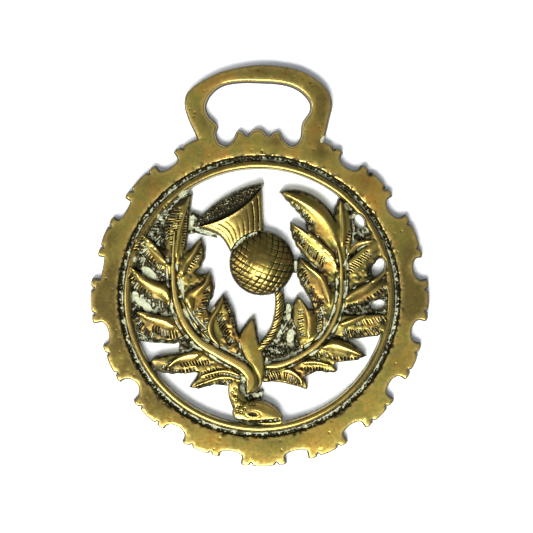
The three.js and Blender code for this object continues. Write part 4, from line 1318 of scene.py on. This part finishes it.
crumbs = ramp(noise(1100, 3, 0.5), [(0.50, 0), (0.58, 1)])
scattered = ramp(math_node("MULTIPLY", mapped("low"), crumbs), [(0.25, 0), (0.45, 0.7)])
ragged = math_node("MULTIPLY", noise(900, 4, 0.6), 0.8)
filled = math_node("SUBTRACT", mapped("settled"), ragged)
filled = ramp(filled, [(0.05, 0), (0.22, 0.92)])
on_wall = math_node("MULTIPLY", mapped("wall"), ramp(patches, [(0.42, 0), (0.55, 0.7)]))
chalk = math_node("MAXIMUM", math_node("MAXIMUM", scattered, filled), on_wall)
tone = mix(chalk, tone, DRIED_POLISH)

rough = ramp(grain, [(0.3, 0.25), (0.7, 0.35)])
rough = mix(dirt_and_shade, rough, (0.62, 0.62, 0.62))
rough = mix(chalk, rough, (0.85, 0.85, 0.85))
bump = node("ShaderNodeBump", {"Strength": 0.25, "Distance": 0.00006, "Height": grain})
surface = {
    "Base Color": tone,
    "Metallic": math_node("SUBTRACT", 1, chalk, True),
    "Roughness": rough,
    "Normal": bump.outputs["Normal"],
}
for name, value in surface.items():
    tree.links.new(value, shader.inputs[name])

mesh.materials.clear()
mesh.materials.append(brass)
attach(casting, "root")
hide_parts("horse_brass")

# Pale floor, soft light from the foot of the piece, and the camera straight above

FLOOR_REACH = 0.8
FLOOR_CORNERS = [(-1, -1), (1, -1), (1, 1), (-1, 1)]
FLOOR_LOOK = {"Base Color": (0.93, 0.93, 0.93, 1), "Roughness": 0.9, "Specular IOR Level": 0.2}

paper = bpy.data.materials.new("floor_paper")
paper.use_nodes = True
for name, value in FLOOR_LOOK.items():
    paper.node_tree.nodes["Principled BSDF"].inputs[name].default_value = value
floor_mesh = bpy.data.meshes.new("floor")
corners = [(x * FLOOR_REACH, y * FLOOR_REACH, 0) for x, y in FLOOR_CORNERS]
floor_mesh.from_pydata(corners, [], [(0, 1, 2, 3)])
floor_mesh.materials.append(paper)
floor = placed("floor", floor_mesh)

# Each light: its name, place, width, depth and power, aimed at the middle of the piece
LIGHTS = [
    ("key", (-0.13, -0.42, 0.58), 0.55, 0.34, 11.2),
    ("side", (-0.6, -0.05, 0.22), 0.2, 0.4, 1.6),
    ("overhead", (0, 0.02, 0.75), 0.7, 0.7, 0.72),
]
for name, where, width, depth, power in LIGHTS:
    data = bpy.data.lights.new(name, "AREA")
    data.shape = "RECTANGLE"
    data.size = width
    data.size_y = depth
    data.energy = power
    light = placed(name, data)
    light.location = where
    light.rotation_euler = (-Vector(where)).to_track_quat("-Z", "Y").to_euler()

world = bpy.data.worlds.new("studio")
world.use_nodes = True
background = world.node_tree.nodes["Background"]
background.inputs["Color"].default_value = (0.85, 0.92, 1, 1)
background.inputs["Strength"].default_value = 0.3
bpy.context.scene.world = world
bpy.context.scene.view_settings.view_transform = "Standard"

# The photograph shows a square of this width about this middle, seen through a long lens
PHOTO_SPAN = 0.1195
PHOTO_MIDDLE = (0.00150, -0.00020)
FACE_LEVEL = 0.0025
SENSOR = 36
LENS = 150
camera_data = bpy.data.cameras.new("camera")
camera_data.sensor_width = SENSOR
camera_data.lens = LENS
camera = placed("camera", camera_data)
camera.location = (*PHOTO_MIDDLE, PHOTO_SPAN * LENS / SENSOR + FACE_LEVEL)
bpy.context.scene.camera = camera
